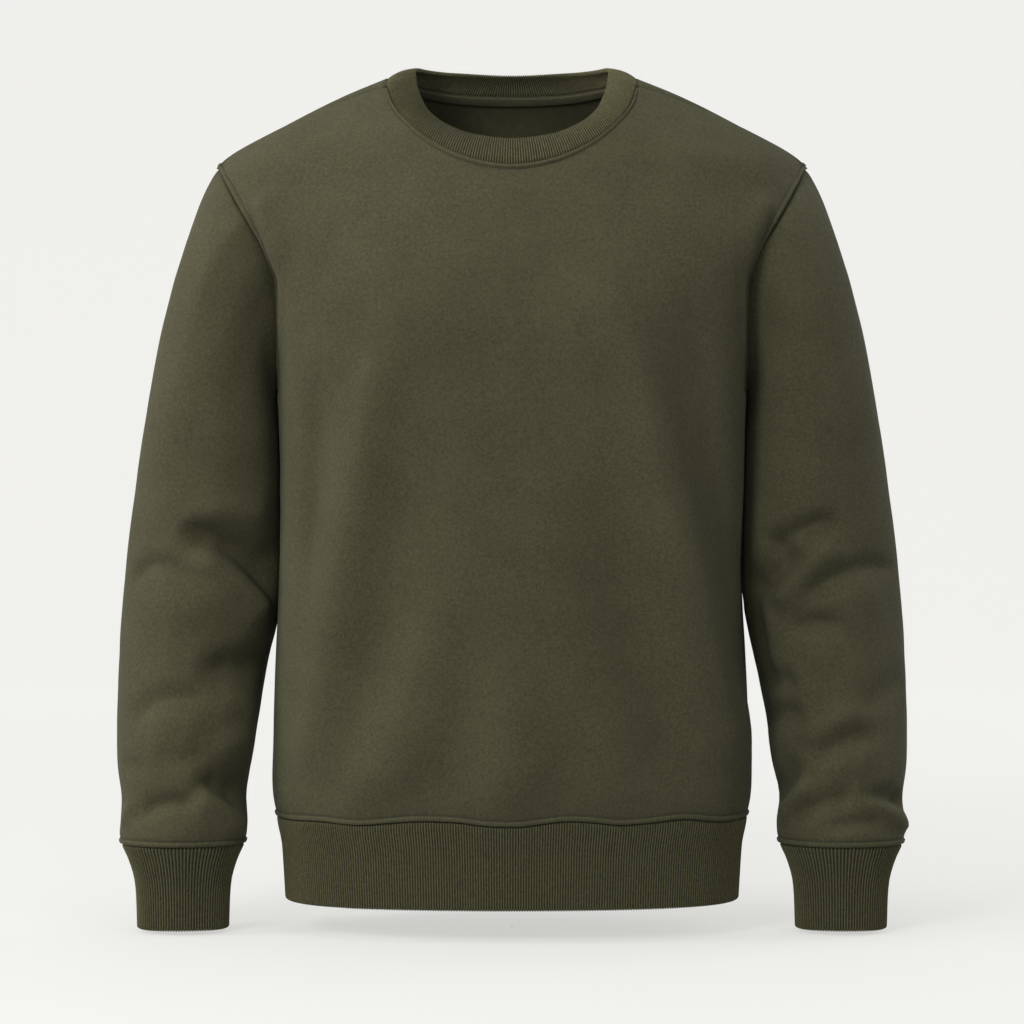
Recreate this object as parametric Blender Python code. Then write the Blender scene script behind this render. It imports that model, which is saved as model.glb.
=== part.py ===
"""Crewneck sweatshirt, filled out as if worn, with nobody in it.

Front, back, two set-in sleeves, neckband, two cuffs, hem band and back neck tape are
each a closed wall of cloth. Sizes are in millimetres until a mesh is made.
The front faces -Y and up is +Z. The origin lies midway between the two points where
the shoulders meet the neck. Left and right are the wearer's: left is +X.
"""
import bpy
import numpy as np

METRES = 0.001

FLEECE_WALL = 2.2
RIB_WALL = 2.6
TAPE_WALL = 1.0
TAPE_WIDTH = 9.0
TAPE_EDGE = 0.8
TAPE_GAP = 1.15
SEAM_HALF = 0.15
WELT_RISE = 0.8
WELT_WIDTH = 7.0
RIB_RELIEF = 0.8

SHOULDER_X = 246.0
SHOULDER_Z = -71.6
NECK_HALF = 104.8
NECK_SIDE_Z = 2.5
FRONT_NECK_DROP = 78.7
BACK_NECK_DROP = 5.0
SHOULDER_SEAM_FORWARD = 24.0
CHEST_Z = -102.0
UNDERARM_Z = -263.0
UNDERARM_FLARE = 5.0
HEM_SEAM_Z = -613.0
HEM_Z = -682.0
HEM_HALF = 190.5
CUFF_SEAM_Z = -636.0
CUFF_Z = -705.0
SLEEVE_TOP_Z = -300.0
FRONT_NECK_POWER = 1.9
BACK_NECK_POWER = 2.4
SHOULDER_TURN = 0.55
NECKBAND_ROLL = 2.0

# How the cloth slides over the shoulder: how far from the crest it starts, the height
# over which it starts, and where it eases off towards the tip and by how much.
ROLL_REACH = 40.0
ROLL_START = 25.0
ROLL_TIP_X = 190.0
ROLL_TIP_HOLD = 0.7
ROLL_BLEND = 8.0
HALVINGS = 40

# Rows and columns of the grids. The first row above each seam makes room for its welt.
SHOULDER_COLUMNS = 4
NECK_COLUMNS = 7
HALF_COLUMNS = SHOULDER_COLUMNS + NECK_COLUMNS
LAST_COLUMN = 2 * HALF_COLUMNS
NECK = slice(SHOULDER_COLUMNS, LAST_COLUMN - SHOULDER_COLUMNS + 1)
NECK_COUNT = NECK.stop - NECK.start
LOW_ROWS = 11
HIGH_ROWS = 12
TOP_ROW_SHARE = 0.55
HEM_FIRST_STEP = 30.0
SLEEVE_FIRST_STEP = 21.0
SLEEVE_LEVELS = 14
HEAD_SHARES = (0.78, 0.56, 0.34, 0.14)
HEM_RIBS_PER_COLUMN = 10
NECK_RIBS_PER_COLUMN = 8
CUFF_RIBS_PER_COLUMN = 4

# How folds fade: past their ends, near a panel's edges, and near a sleeve's ends.
FOLD_END = 2.0
SIDE_POWER = 8
TOP_POWER = 6
HEM_CALM = 8.0
ARM_SPAN = 1.6
ARM_INSIDE = 35.0
ARM_TOP_CALM = 40.0
ARM_CUFF_CALM = 20.0


def table(columns, *rows):
    """A short table: one array for each named column, one entry for each row."""
    values = np.array(rows, float)
    return {name: values[:, i] for i, name in enumerate(columns.split())}


# Sections of the body, from the neck down: half widths at the side, how far the front
# and back stand off the plane of the side seams, and the squareness of the oval.
BODY = table(
    "z half_front half_back depth_front depth_back squareness",
    (2.5, 104.8, 104.8, 38, 66, 2.0),
    (-11.5, 139, 139, 48, 79, 2.0),
    (-28.5, 173.5, 173.5, 62, 90, 2.0),
    (-46, 207, 207, 75, 97, 2.05),
    (-64, 238, 238, 85, 103, 2.1),
    (-71.6, 246, 246, 89, 105, 2.15),
    (-102, 247, 250, 99, 110, 2.3),
    (-123, 228, 244, 104, 112, 2.6),
    (-145, 208, 234, 109, 113, 3.1),
    (-180, 204, 227, 115, 114, 3.2),
    (-210, 202, 216, 117, 114, 3.0),
    (-240, 200.5, 207, 118, 113, 2.9),
    (-263, 199, 199, 118, 112, 2.8),
    (-300, 197.5, 197.5, 117, 109, 2.8),
    (-400, 196.5, 196.5, 112, 102, 2.8),
    (-452, 196.5, 196.5, 110, 98, 2.8),
    (-503, 198, 198, 108, 97, 2.75),
    (-560, 199.5, 199.5, 109, 99, 2.6),
    (-603, 200.5, 200.5, 110, 100, 2.5),
    (-613, 196.5, 196.5, 107, 97, 2.5),
)

# The armhole from underarm (0) to shoulder (1), as both panels' side edge.
ARMHOLE = table(
    "rise z front_x front_y back_x back_y",
    (0.00, -263, 199, 0, 199, 0),
    (0.08, -257, 199, -15, 200, 17),
    (0.20, -239, 198, -33, 203, 38),
    (0.36, -209, 197.5, -49, 209, 56),
    (0.52, -177, 198.5, -56, 215, 63),
    (0.68, -147, 201.5, -55, 222, 60),
    (0.80, -123, 213, -49, 231, 50),
    (0.90, -101, 231, -34, 240, 36),
    (0.96, -84, 241, -18, 245, 20),
    (1.00, -71.6, 246, 0, 246, 0),
)

# Sections of a sleeve below the armhole.
SLEEVE = table(
    "z centre_x centre_y half_width half_depth squareness",
    (-300, 255.6, 10, 54.6, 70, 2.5),
    (-350, 259.4, 12, 58.6, 66, 2.5),
    (-400, 262.4, 12, 61.6, 62, 2.4),
    (-452, 265.0, 8, 63.2, 58, 2.3),
    (-503, 269.5, 1, 60.7, 56, 2.2),
    (-536, 272.2, -5, 57.7, 54, 2.1),
    (-570, 274.0, -12, 55.7, 52, 2.1),
    (-598, 273.3, -18, 50.8, 48, 2.1),
    (-614, 273.2, -21, 51.6, 48, 2.1),
    (-629, 274.0, -24, 51.8, 46, 2.1),
    (-636, 274.0, -25, 49.5, 42, 2.1),
)

# How the sleeve leaves the armhole, from shoulder (0) to underarm (1): the direction
# and the length of its start, then the length of its pull into the first section.
SLEEVE_HEAD = table(
    "drop out down bulge start finish",
    (0.00, 0.52, 0.85, 0.00, 190, 205),
    (0.25, 0.80, 0.60, 0.35, 150, 190),
    (0.50, 0.88, 0.40, 0.35, 100, 120),
    (0.75, 0.90, 0.40, 0.20, 60, 70),
    (1.00, 0.85, 0.50, 0.00, 36, 30),
)

# Sections of a cuff.
CUFF = table(
    "z half_width half_depth",
    (-636, 49, 41),
    (-655, 40.8, 34.6),
    (-705, 36.4, 29.8),
)

# The free edge of the neckband, from the back (0) to the front (1) of the neck, and a
# step past both, so that it runs level through the middle.
NECK_EDGE = table(
    "turn x y z",
    (-0.25, -53, 42, 14.5),
    (0.00, 0, 54, 14),
    (0.25, 53, 42, 14.5),
    (0.40, 77, 20, 14),
    (0.50, 81.5, -2, 10),
    (0.60, 80, -20, -1),
    (0.72, 68, -42, -25),
    (0.86, 38, -66, -49),
    (1.00, 0, -76, -57),
    (1.14, -38, -66, -49),
)

# Folds of the front and back: ridges (height above 0) and troughs between two points.
FRONT_FOLDS = table(
    "x1 z1 x2 z2 width height",
    (-112, -225, -150, -420, 32, 5),
    (-150, -420, -172, -540, 30, 4),
    (-85, -270, -128, -450, 30, -3),
    (118, -220, 148, -340, 32, -5),
    (148, -340, 176, -520, 32, -4),
    (98, -300, 118, -470, 30, 3),
)
BACK_FOLDS = table(
    "x1 z1 x2 z2 width height",
    (-110, -210, -140, -420, 32, 5),
    (112, -230, 150, -440, 32, 5),
    (-40, -420, -60, -560, 32, 3),
    (50, -400, 66, -550, 32, -3),
)

# Folds of the sleeves: each is an arc round the arm. Angles run from the outside of
# the arm (0) to the front (90), the inside (180) and the back (270).
LEFT_SLEEVE_FOLDS = table(
    "angle z span lean width height",
    (105, -385, 70, 50, 22, -5),
    (95, -425, 80, 45, 20, 3),
    (80, -470, 80, 30, 20, -3),
    (70, -552, 80, 15, 18, -4),
    (250, -450, 80, -30, 22, -4),
    (260, -520, 80, 20, 20, 3),
)
RIGHT_SLEEVE_FOLDS = table(
    "angle z span lean width height",
    (110, -375, 65, -30, 20, -5),
    (70, -412, 75, 25, 18, 3),
    (110, -478, 70, 10, 20, -4),
    (60, -520, 70, -14, 20, 3),
    (250, -440, 80, 30, 22, -4),
    (265, -530, 80, -20, 20, 3),
)


def at(source, column, key, where):
    """Read a column at any place along the key column, with no overshoot."""
    order = np.argsort(source[key])
    xs = source[key][order]
    ys = source[column][order]
    step = np.diff(xs)
    slope = np.diff(ys) / step
    tangent = np.zeros_like(ys)
    same = slope[1:] * slope[:-1] > 0
    mean = 2 * slope[1:] * slope[:-1] / np.where(same, slope[1:] + slope[:-1], 1)
    tangent[1:-1] = np.where(same, mean, 0)
    tangent[0] = slope[0]
    tangent[-1] = slope[-1]
    inside = np.clip(where, xs[0], xs[-1])
    i = np.clip(np.searchsorted(xs, inside, side="right") - 1, 0, len(xs) - 2)
    t = (inside - xs[i]) / step[i]
    first = (1 + 2 * t) * (1 - t) ** 2 * ys[i] + t * (1 - t) ** 2 * step[i] * tangent[i]
    last = t * t * (3 - 2 * t) * ys[i + 1] - t * t * (1 - t) * step[i] * tangent[i + 1]
    return first + last


def unit(vectors):
    length = np.linalg.norm(vectors, axis=-1, keepdims=True)
    return vectors / np.maximum(length, 1e-9)


def resample(line, fractions):
    """Points at given fractions of a line's length."""
    length = np.concatenate([[0], np.cumsum(np.linalg.norm(np.diff(line, axis=0), axis=1))])
    wanted = np.asarray(fractions) * length[-1]
    return np.stack([np.interp(wanted, length, line[:, i]) for i in range(3)], axis=1)


def stack(x, y, z):
    return np.stack(np.broadcast_arrays(x, y, z), axis=-1).astype(float)


def mirrored(vectors):
    return vectors * (-1, 1, 1)


# ---- the body's form ---------------------------------------------------------------

def stand_off(side, x, z):
    """How far the front or back lies from the plane of the side seams."""
    half = at(BODY, "half_" + side, "z", z)
    depth = at(BODY, "depth_" + side, "z", z)
    power = at(BODY, "squareness", "z", z)
    reach = np.clip(np.abs(x) / half, 0, 1)
    return depth * (1 - reach ** power) ** (1 / power)


def height_on_shoulder(side, x, off):
    """The height at which the body stands off this far, near the shoulder's crest."""
    low = np.full(np.shape(x), CHEST_Z)
    high = np.full(np.shape(x), NECK_SIDE_Z)
    for _ in range(HALVINGS):
        middle = (low + high) / 2
        above = stand_off(side, x, middle) < off
        high = np.where(above, middle, high)
        low = np.where(above, low, middle)
    return (low + high) / 2


def roll_forward(points):
    """Slide the cloth over the shoulder's crest, which brings the seam to the front."""
    x, y, z = np.moveaxis(points, -1, 0)
    tip = np.clip((np.abs(x) - ROLL_TIP_X) / (SHOULDER_X - ROLL_TIP_X), 0, 1)
    amount = SHOULDER_SEAM_FORWARD * (1 - ROLL_TIP_HOLD * tip * tip * (3 - 2 * tip))
    near = np.exp(-(y / ROLL_REACH) ** 2) * np.clip((z - CHEST_Z) / ROLL_START, 0, 1)
    moved = y - amount * near
    front_z = height_on_shoulder("front", x, np.abs(moved))
    back_z = height_on_shoulder("back", x, np.abs(moved))
    new_z = np.where(moved < 0, front_z, back_z)
    blend = np.clip(near * ROLL_BLEND, 0, 1)
    return stack(x, moved, z + (new_z - z) * blend)


def crest_height(x):
    """Height of the shoulder's crest at a distance from the middle."""
    heights = np.linspace(SHOULDER_Z, NECK_SIDE_Z, 200)
    halves = at(BODY, "half_front", "z", heights)
    return np.interp(-np.abs(x), -halves, heights)


def top_edge(side, drop, power):
    """A panel's top, from the middle of the neck to the tip of the shoulder."""
    turn = np.linspace(0, np.pi / 2, 200)
    neck_x = NECK_HALF * np.sin(turn)
    neck_z = NECK_SIDE_Z - (drop + NECK_SIDE_Z) * (1 - np.sin(turn) ** power) ** (1 / power)
    off = stand_off(side, neck_x, neck_z)
    y = -off if side == "front" else off
    neck = resample(stack(neck_x, y, neck_z), np.linspace(0, 1, NECK_COLUMNS + 1))
    along = np.linspace(NECK_HALF, SHOULDER_X, SHOULDER_COLUMNS + 1)
    shoulder = stack(along, 0, crest_height(along))
    shoulder[-1, 2] = SHOULDER_Z
    return np.concatenate([neck, shoulder[1:]])


def panel(side, drop, power):
    """Rows from the hem up and columns from -X to +X, on the body's form."""
    sign = -1 if side == "front" else 1
    widest = at(BODY, "half_" + side, "z", UNDERARM_Z)
    across = np.linspace(0, 1, 2000) ** 0.5 * widest
    quarter = stack(across, stand_off(side, across, UNDERARM_Z), 0)
    share = resample(quarter, np.linspace(0, 1, HALF_COLUMNS + 1))[:, 0] / widest
    even = np.linspace(HEM_SEAM_Z + HEM_FIRST_STEP, UNDERARM_Z, LOW_ROWS - 1)[:-1]
    levels = np.concatenate([[HEM_SEAM_Z, HEM_SEAM_Z + WELT_WIDTH], even])
    half = at(BODY, "half_" + side, "z", levels)
    low_x = half[:, None] * share
    low_z = np.repeat(levels[:, None], HALF_COLUMNS + 1, axis=1)
    low = stack(low_x, sign * stand_off(side, low_x, low_z), low_z)

    top = top_edge(side, drop, power)
    rise = np.linspace(0, 1, HIGH_ROWS + 1)
    edge_x = at(ARMHOLE, side + "_x", "rise", rise)[:, None]
    edge_y = at(ARMHOLE, side + "_y", "rise", rise)[:, None]
    edge_z = at(ARMHOLE, "z", "rise", rise)
    climb = ((edge_z - UNDERARM_Z) / (SHOULDER_Z - UNDERARM_Z))[:, None]
    climb[-2] = 1 - (1 - climb[-2]) * TOP_ROW_SHARE
    x = share * edge_x + (top[:, 0] - share * SHOULDER_X) * climb ** 2
    z = UNDERARM_Z + (top[:, 2] - UNDERARM_Z) * climb
    z[:, -1] = edge_z
    y = sign * stand_off(side, x, z)
    y += (edge_y - y[:, -1:]) * share ** 8
    y[-1] = top[:, 1]
    x[:, -1] += UNDERARM_FLARE * np.exp(-(rise / 0.3) ** 2)
    high = roll_forward(stack(x, y, z))
    half_grid = np.concatenate([low, high])
    return np.concatenate([mirrored(half_grid[:, :0:-1]), half_grid], axis=1)


def fold_height(folds, points):
    """Height of all the folds at each point, fading out at both ends of each."""
    x = points[..., 0]
    z = points[..., 2]
    total = np.zeros(x.shape)
    for x1, z1, x2, z2, width, height in zip(*folds.values()):
        length = np.hypot(x2 - x1, z2 - z1)
        along = ((x - x1) * (x2 - x1) + (z - z1) * (z2 - z1)) / length
        aside = ((x - x1) * (z2 - z1) - (z - z1) * (x2 - x1)) / length
        past = np.maximum(np.maximum(-along, along - length), 0)
        total += height * np.exp(-(aside / width) ** 2 - (past / (FOLD_END * width)) ** 2)
    return total


def folded_panel(side, drop, power, folds):
    points = panel(side, drop, power)
    rows, columns = points.shape[:2]
    across = np.linspace(-1, 1, columns)
    up = np.linspace(0, 1, rows)[:, None]
    calm = (1 - across ** SIDE_POWER) * np.clip(up * HEM_CALM, 0, 1) * (1 - up ** TOP_POWER)
    return points + directions(points, side) * (fold_height(folds, points) * calm)[..., None]


# ---- walls and seams -----------------------------------------------------------------

def directions(points, side="front", closed=False):
    """Outward direction of the cloth at each point of a grid."""
    up = np.gradient(points, axis=0)
    if closed:
        round_it = np.roll(points, -1, axis=1) - np.roll(points, 1, axis=1)
    else:
        round_it = np.gradient(points, axis=1)
    outward = unit(np.cross(round_it, up))
    return -outward if side == "back" else outward


def run(line):
    """Unit tangents of a closed line."""
    return unit(np.roll(line, -1, axis=0) - np.roll(line, 1, axis=0))


def smoothed(out):
    """Directions along a closed line, each evened out with its neighbours."""
    return unit(2 * out + np.roll(out, 1, axis=0) + np.roll(out, -1, axis=0))


def wall(name, outer, inner, closed, colour):
    """A closed mesh between two grids, whose outer one may have finer columns."""
    rows, wide = outer.shape[:2]
    narrow = inner.shape[1]
    vertices = np.concatenate([outer.reshape(-1, 3), inner.reshape(-1, 3)]) * METRES
    start = rows * wide
    wide_steps = wide if closed else wide - 1
    narrow_steps = narrow if closed else narrow - 1
    each = wide_steps // narrow_steps
    faces = []
    for r in range(rows - 1):
        for c in range(wide_steps):
            d = (c + 1) % wide
            faces.append((r * wide + c, r * wide + d, (r + 1) * wide + d, (r + 1) * wide + c))
        for c in range(narrow_steps):
            d = (c + 1) % narrow
            low = start + r * narrow
            high = low + narrow
            faces.append((low + c, high + c, high + d, low + d))
    for r, flip in ((0, False), (rows - 1, True)):
        for c in range(narrow_steps):
            near = start + r * narrow + c
            far = start + r * narrow + (c + 1) % narrow
            ring = [r * wide + (c * each + k) % wide for k in range(each + 1)]
            half = (each + 1) // 2
            if each == 1 and vertices[near][2] > vertices[far][2]:
                half = 0
            rim = [(near, ring[k + 1], ring[k]) for k in range(half)]
            rim += [(far, ring[k + 1], ring[k]) for k in range(half, each)]
            rim.append((near, far, ring[half]))
            faces += [tuple(reversed(f)) if flip else f for f in rim]
    if not closed:
        for c, flip in ((0, False), (1, True)):
            for r in range(rows - 1):
                low = r * wide + c * (wide - 1)
                near = start + r * narrow + c * (narrow - 1)
                high = low + wide
                far = near + narrow
                rim = [(low, high, near), (high, far, near)]
                if vertices[near][2] > vertices[far][2]:
                    rim = [(low, high, far), (low, far, near)]
                faces += [tuple(reversed(f)) if flip else f for f in rim]
    mesh = bpy.data.meshes.new(name)
    mesh.from_pydata(vertices.tolist(), [], faces)
    mesh.validate()
    piece = bpy.data.objects.new(name, mesh)
    bpy.context.scene.collection.objects.link(piece)
    mesh.materials.append(cloth_material(name, colour))
    return piece


def cloth_material(name, colour):
    material = bpy.data.materials.new(name)
    material.use_nodes = True
    shader = material.node_tree.nodes["Principled BSDF"]
    shader.inputs["Base Color"].default_value = (*colour, 1)
    shader.inputs["Roughness"].default_value = 0.95
    shader.inputs["Metallic"].default_value = 0.0
    return material


def raised(points, normals, height):
    return points + normals * np.asarray(height)[..., None]


# ---- the pieces ----------------------------------------------------------------------

OLIVE = (0.088, 0.080, 0.045)
OLIVE_RIB = (0.080, 0.072, 0.040)
OLIVE_TAPE = (0.070, 0.063, 0.036)


def joined(front_edge, back_edge):
    """One closed line: along the front's edge, and home along the back's."""
    return np.concatenate([front_edge, back_edge[-2:0:-1]])


def parted(line, count):
    """The front's and the back's share of such a line."""
    return line[:count], np.concatenate([line[:1], line[:count - 2:-1]])


def armhole(front, back):
    """Closed line from the underarm up the front, over the shoulder, down the back."""
    return joined(front[LOW_ROWS:, -1], back[LOW_ROWS:, -1])


def length_share(line):
    """How much of a line's length lies before each of its points."""
    length = np.concatenate([[0], np.cumsum(np.linalg.norm(np.diff(line, axis=0), axis=1))])
    return length / length[-1]


def halves_share(line):
    """The same, for the first and the second half of a closed line."""
    half = len(line) // 2
    first = length_share(line[:half + 1])[:-1]
    second = length_share(np.concatenate([line[half:], line[:1]]))[:-1]
    return first, second


def sleeve_grid(line, folds):
    """Rows from the cuff up to the armhole, on the +X side; the last is the armhole."""
    ahead, behind = halves_share(line)
    angle = np.pi * np.concatenate([1 + ahead, 2 + behind])
    drop = np.abs(angle - 2 * np.pi) / np.pi
    even = np.linspace(CUFF_SEAM_Z + SLEEVE_FIRST_STEP, SLEEVE_TOP_Z, SLEEVE_LEVELS)
    levels = np.concatenate([[CUFF_SEAM_Z, CUFF_SEAM_Z + WELT_WIDTH], even])
    ring = np.stack([sleeve_ring(z, angle) for z in levels])
    ring = with_sleeve_folds(ring, angle, levels, folds)

    out = at(SLEEVE_HEAD, "out", "drop", drop)
    down = at(SLEEVE_HEAD, "down", "drop", drop)
    bulge = at(SLEEVE_HEAD, "bulge", "drop", drop) * np.sign(np.sin(angle))
    start = unit(stack(out, bulge, -down)) * at(SLEEVE_HEAD, "start", "drop", drop)[:, None]
    first = sleeve_ring(SLEEVE_TOP_Z, angle)
    finish = unit(sleeve_ring(SLEEVE_TOP_Z - 1, angle) - first)
    finish = finish * at(SLEEVE_HEAD, "finish", "drop", drop)[:, None]
    head = []
    for t in HEAD_SHARES:
        head.append(
            (1 + 2 * t) * (1 - t) ** 2 * line + t * (1 - t) ** 2 * start
            + t * t * (3 - 2 * t) * first - t * t * (1 - t) * finish)
    return np.concatenate([ring, head, [line]])


def sleeve_ring(z, angle):
    centre_x = at(SLEEVE, "centre_x", "z", z)
    centre_y = at(SLEEVE, "centre_y", "z", z)
    width = at(SLEEVE, "half_width", "z", z)
    depth = at(SLEEVE, "half_depth", "z", z)
    power = 2 / at(SLEEVE, "squareness", "z", z)
    side = np.sign(np.cos(angle)) * np.abs(np.cos(angle)) ** power
    ahead = np.sign(np.sin(angle)) * np.abs(np.sin(angle)) ** power
    return stack(centre_x + width * side, centre_y + depth * ahead, z)


def with_sleeve_folds(ring, angle, levels, folds):
    place = np.degrees(-angle) % 360
    total = np.zeros(ring.shape[:2])
    for centre, z, span, lean, width, height in zip(*folds.values()):
        away = (place - centre + 180) % 360 - 180
        aside = levels[:, None] - (z + lean * away / 90)
        total += height * np.exp(-(aside / width) ** 2 - (away / span * ARM_SPAN) ** 2)
    inside = np.exp(-((place - 180) / ARM_INSIDE) ** 2)
    top = np.clip((SLEEVE_TOP_Z - levels) / ARM_TOP_CALM, 0, 1)
    bottom = np.clip((levels - CUFF_SEAM_Z) / ARM_CUFF_CALM, 0, 1)
    calm = (top * bottom)[:, None] * (1 - inside)
    return ring + directions(ring, closed=True) * (total * calm)[..., None]


def share_plain_seams(out):
    """At the side and shoulder seams, both panels face one shared way."""
    sides = (slice(0, LOW_ROWS), LAST_COLUMN)
    shoulders = (-1, slice(LAST_COLUMN - SHOULDER_COLUMNS, LAST_COLUMN + 1))
    for there in (sides, shoulders):
        shared = unit(out["front"][there] + out["back"][there])
        for facing in out.values():
            facing[there] = shared
            facing[:, ::-1][there] = mirrored(shared)


def share_armhole(out, sleeve):
    """At the armhole, body and sleeve face one shared way, which this returns.

    Where they hang side by side, the seam faces down between them.
    """
    body_out = armhole(out["front"], out["back"])
    sleeve_out = directions(sleeve, closed=True)[-1]
    opposed = np.maximum(0, -np.sum(body_out * sleeve_out, axis=1, keepdims=True))
    arm_out = smoothed(smoothed(unit(body_out + sleeve_out + opposed * (0, 0, -2))))
    for facing, values in zip(out.values(), parted(arm_out, HIGH_ROWS + 1)):
        facing[LOW_ROWS:, -1] = values
        facing[LOW_ROWS:, 0] = mirrored(values)
    return arm_out


def share_neck(out):
    neck_out = joined(out["front"][-1, NECK], out["back"][-1, NECK])
    neck_out = smoothed(smoothed(smoothed(neck_out)))
    for facing, values in zip(out.values(), parted(neck_out, NECK_COUNT)):
        facing[-1, NECK] = values
    return neck_out


def pull_back_panels(panels, out, across):
    """Pull every sewn edge of both panels back by half of the seam gap."""
    halves = {seam: parted(way, count) for seam, (way, count) in across.items()}
    for k, (side, sign) in enumerate((("front", 1), ("back", -1))):
        points = panels[side]
        points[-1, NECK] += SEAM_HALF * halves["neck"][k]
        points[0] -= SEAM_HALF * halves["hem"][k]
        points[:LOW_ROWS + 1, (0, -1), 1] -= sign * SEAM_HALF
        points[LOW_ROWS:, -1] -= SEAM_HALF * halves["armhole"][k]
        points[LOW_ROWS:, 0] -= SEAM_HALF * mirrored(halves["armhole"][k])
    along = np.gradient(panels["front"][-1], axis=0)
    to_front = unit(np.cross(along, out["front"][-1]))
    for columns in (slice(0, NECK.start + 1), slice(NECK.stop - 1, LAST_COLUMN + 1)):
        panels["front"][-1, columns] += SEAM_HALF * to_front[columns]
        panels["back"][-1, columns] -= SEAM_HALF * to_front[columns]


def make_panel(side, points, out):
    rise = np.zeros(points.shape[:2])
    rise[(0, -1), :] = WELT_RISE
    rise[LOW_ROWS:, (0, -1)] = WELT_RISE
    outer = raised(points, out, FLEECE_WALL / 2 + rise)
    inner = raised(points, out, np.full(rise.shape, -FLEECE_WALL / 2))
    if side == "back":
        outer = outer[:, ::-1]
        inner = inner[:, ::-1]
    wall(side, outer, inner, False, OLIVE)


def make_sleeve(side, points, arm_out, arm_across):
    """One sleeve, which returns its cuff seam: the line and the way it faces."""
    out = directions(points, closed=True)
    out[-1] = arm_out
    across = unit(np.cross(run(points[0]), out[0]))
    seam = (points[0] + SEAM_HALF * across, out[0].copy())
    points[0] -= SEAM_HALF * across
    points[-1] += SEAM_HALF * arm_across
    rise = np.zeros(points.shape[:2])
    rise[0] = WELT_RISE
    outer = raised(points, out, FLEECE_WALL / 2 + rise)
    inner = raised(points, out, np.full(rise.shape, -FLEECE_WALL / 2))
    if side == "right":
        outer = mirrored(outer)[:, ::-1]
        inner = mirrored(inner)[:, ::-1]
        seam = (mirrored(seam[0])[::-1], mirrored(seam[1])[::-1])
    wall("sleeve_" + side, outer, inner, True, OLIVE)
    return seam


def make_body_and_sleeves():
    """Both panels, both sleeves and the tape; returns the seams that the ribs hang from."""
    panels = {
        "front": folded_panel("front", FRONT_NECK_DROP, FRONT_NECK_POWER, FRONT_FOLDS),
        "back": folded_panel("back", BACK_NECK_DROP, BACK_NECK_POWER, BACK_FOLDS),
    }
    out = {side: directions(points, side) for side, points in panels.items()}
    arm_line = armhole(panels["front"], panels["back"])
    sleeves = {
        "left": sleeve_grid(arm_line, LEFT_SLEEVE_FOLDS),
        "right": sleeve_grid(arm_line, RIGHT_SLEEVE_FOLDS),
    }
    neck_line = joined(panels["front"][-1, NECK], panels["back"][-1, NECK])
    hem_line = joined(panels["front"][0], panels["back"][0])

    share_plain_seams(out)
    arm_out = share_armhole(out, sleeves["left"])
    neck_out = share_neck(out)
    hem_out = joined(out["front"][0], out["back"][0])
    arm_across = unit(np.cross(run(arm_line), arm_out))
    neck_across = unit(np.cross(run(neck_line), neck_out))
    hem_across = unit(np.cross(run(hem_line), hem_out))
    pull_back_panels(panels, out, {
        "armhole": (arm_across, HIGH_ROWS + 1),
        "neck": (neck_across, NECK_COUNT),
        "hem": (hem_across, LAST_COLUMN + 1),
    })

    seams = {
        "neck": (neck_line - SEAM_HALF * neck_across, neck_out),
        "hem": (hem_line + SEAM_HALF * hem_across, hem_out),
    }
    for side, points in panels.items():
        make_panel(side, points, out[side])
    for side, points in sleeves.items():
        seams[side] = make_sleeve(side, points, arm_out, arm_across)
    make_neck_tape(panels["back"], out["back"])
    return seams


def refined(rows, each):
    """Add points between the columns of closed rows, in straight lines."""
    following = np.roll(rows, -1, axis=1)
    share = (np.arange(each) / each)[:, None]
    fine = rows[:, :, None] * (1 - share) + following[:, :, None] * share
    return fine.reshape(rows.shape[0], -1, 3)


def rib_band(name, rows, seam_out, seam_row, ribs_per_column):
    """A ring of doubled rib: the ribs are raised on the outside of a plain wall."""
    out = directions(rows, closed=True)
    out[seam_row] = seam_out
    each = 2 * ribs_per_column
    fine = refined(rows, each)
    fine_out = unit(refined(out, each))
    wave = RIB_RELIEF / 2 * (1 - 2 * (np.arange(fine.shape[1]) % 2))
    height = RIB_WALL / 2 + np.repeat(wave[None], len(rows), axis=0)
    outer = raised(fine, fine_out, height)
    inner = raised(rows, out, np.full(rows.shape[:2], -RIB_WALL / 2))
    wall(name, outer, inner, True, OLIVE_RIB)


def make_hem_band(seam):
    line, out = seam
    bottom = line * (HEM_HALF / line[:, 0].max())
    bottom[:, 2] = HEM_Z
    rib_band("hem_band", np.stack([bottom, line]), out, 1, HEM_RIBS_PER_COLUMN)


def make_cuff(name, seam):
    line, out = seam
    centre = (line.min(axis=0) + line.max(axis=0)) / 2
    size = (line.max(axis=0) - line.min(axis=0)) / 2
    rows = []
    for z, half_width, half_depth in list(zip(*CUFF.values()))[:0:-1]:
        ring = (line - centre) * (half_width / size[0], half_depth / size[1], 0) + centre
        ring[:, 2] = z
        rows.append(ring)
    rib_band(name, np.stack([*rows, line]), out, len(rows), CUFF_RIBS_PER_COLUMN)


def make_neckband(seam):
    line, out = seam
    ahead, behind = halves_share(line)
    front = ahead * 2 - 1
    back = behind * 2 - 1
    turn = np.concatenate([1 - np.abs(front) * (1 - SHOULDER_TURN), np.abs(back) * SHOULDER_TURN])
    side = np.concatenate([np.sign(front), -np.sign(back)])
    edge = stack(
        side * at(NECK_EDGE, "x", "turn", turn),
        at(NECK_EDGE, "y", "turn", turn),
        at(NECK_EDGE, "z", "turn", turn))
    middle = (line + edge) / 2
    rows = np.stack([line, middle, edge])
    rows[1] += directions(rows, closed=True)[1] * NECKBAND_ROLL
    rib_band("neckband", rows, out, 0, NECK_RIBS_PER_COLUMN)


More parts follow.
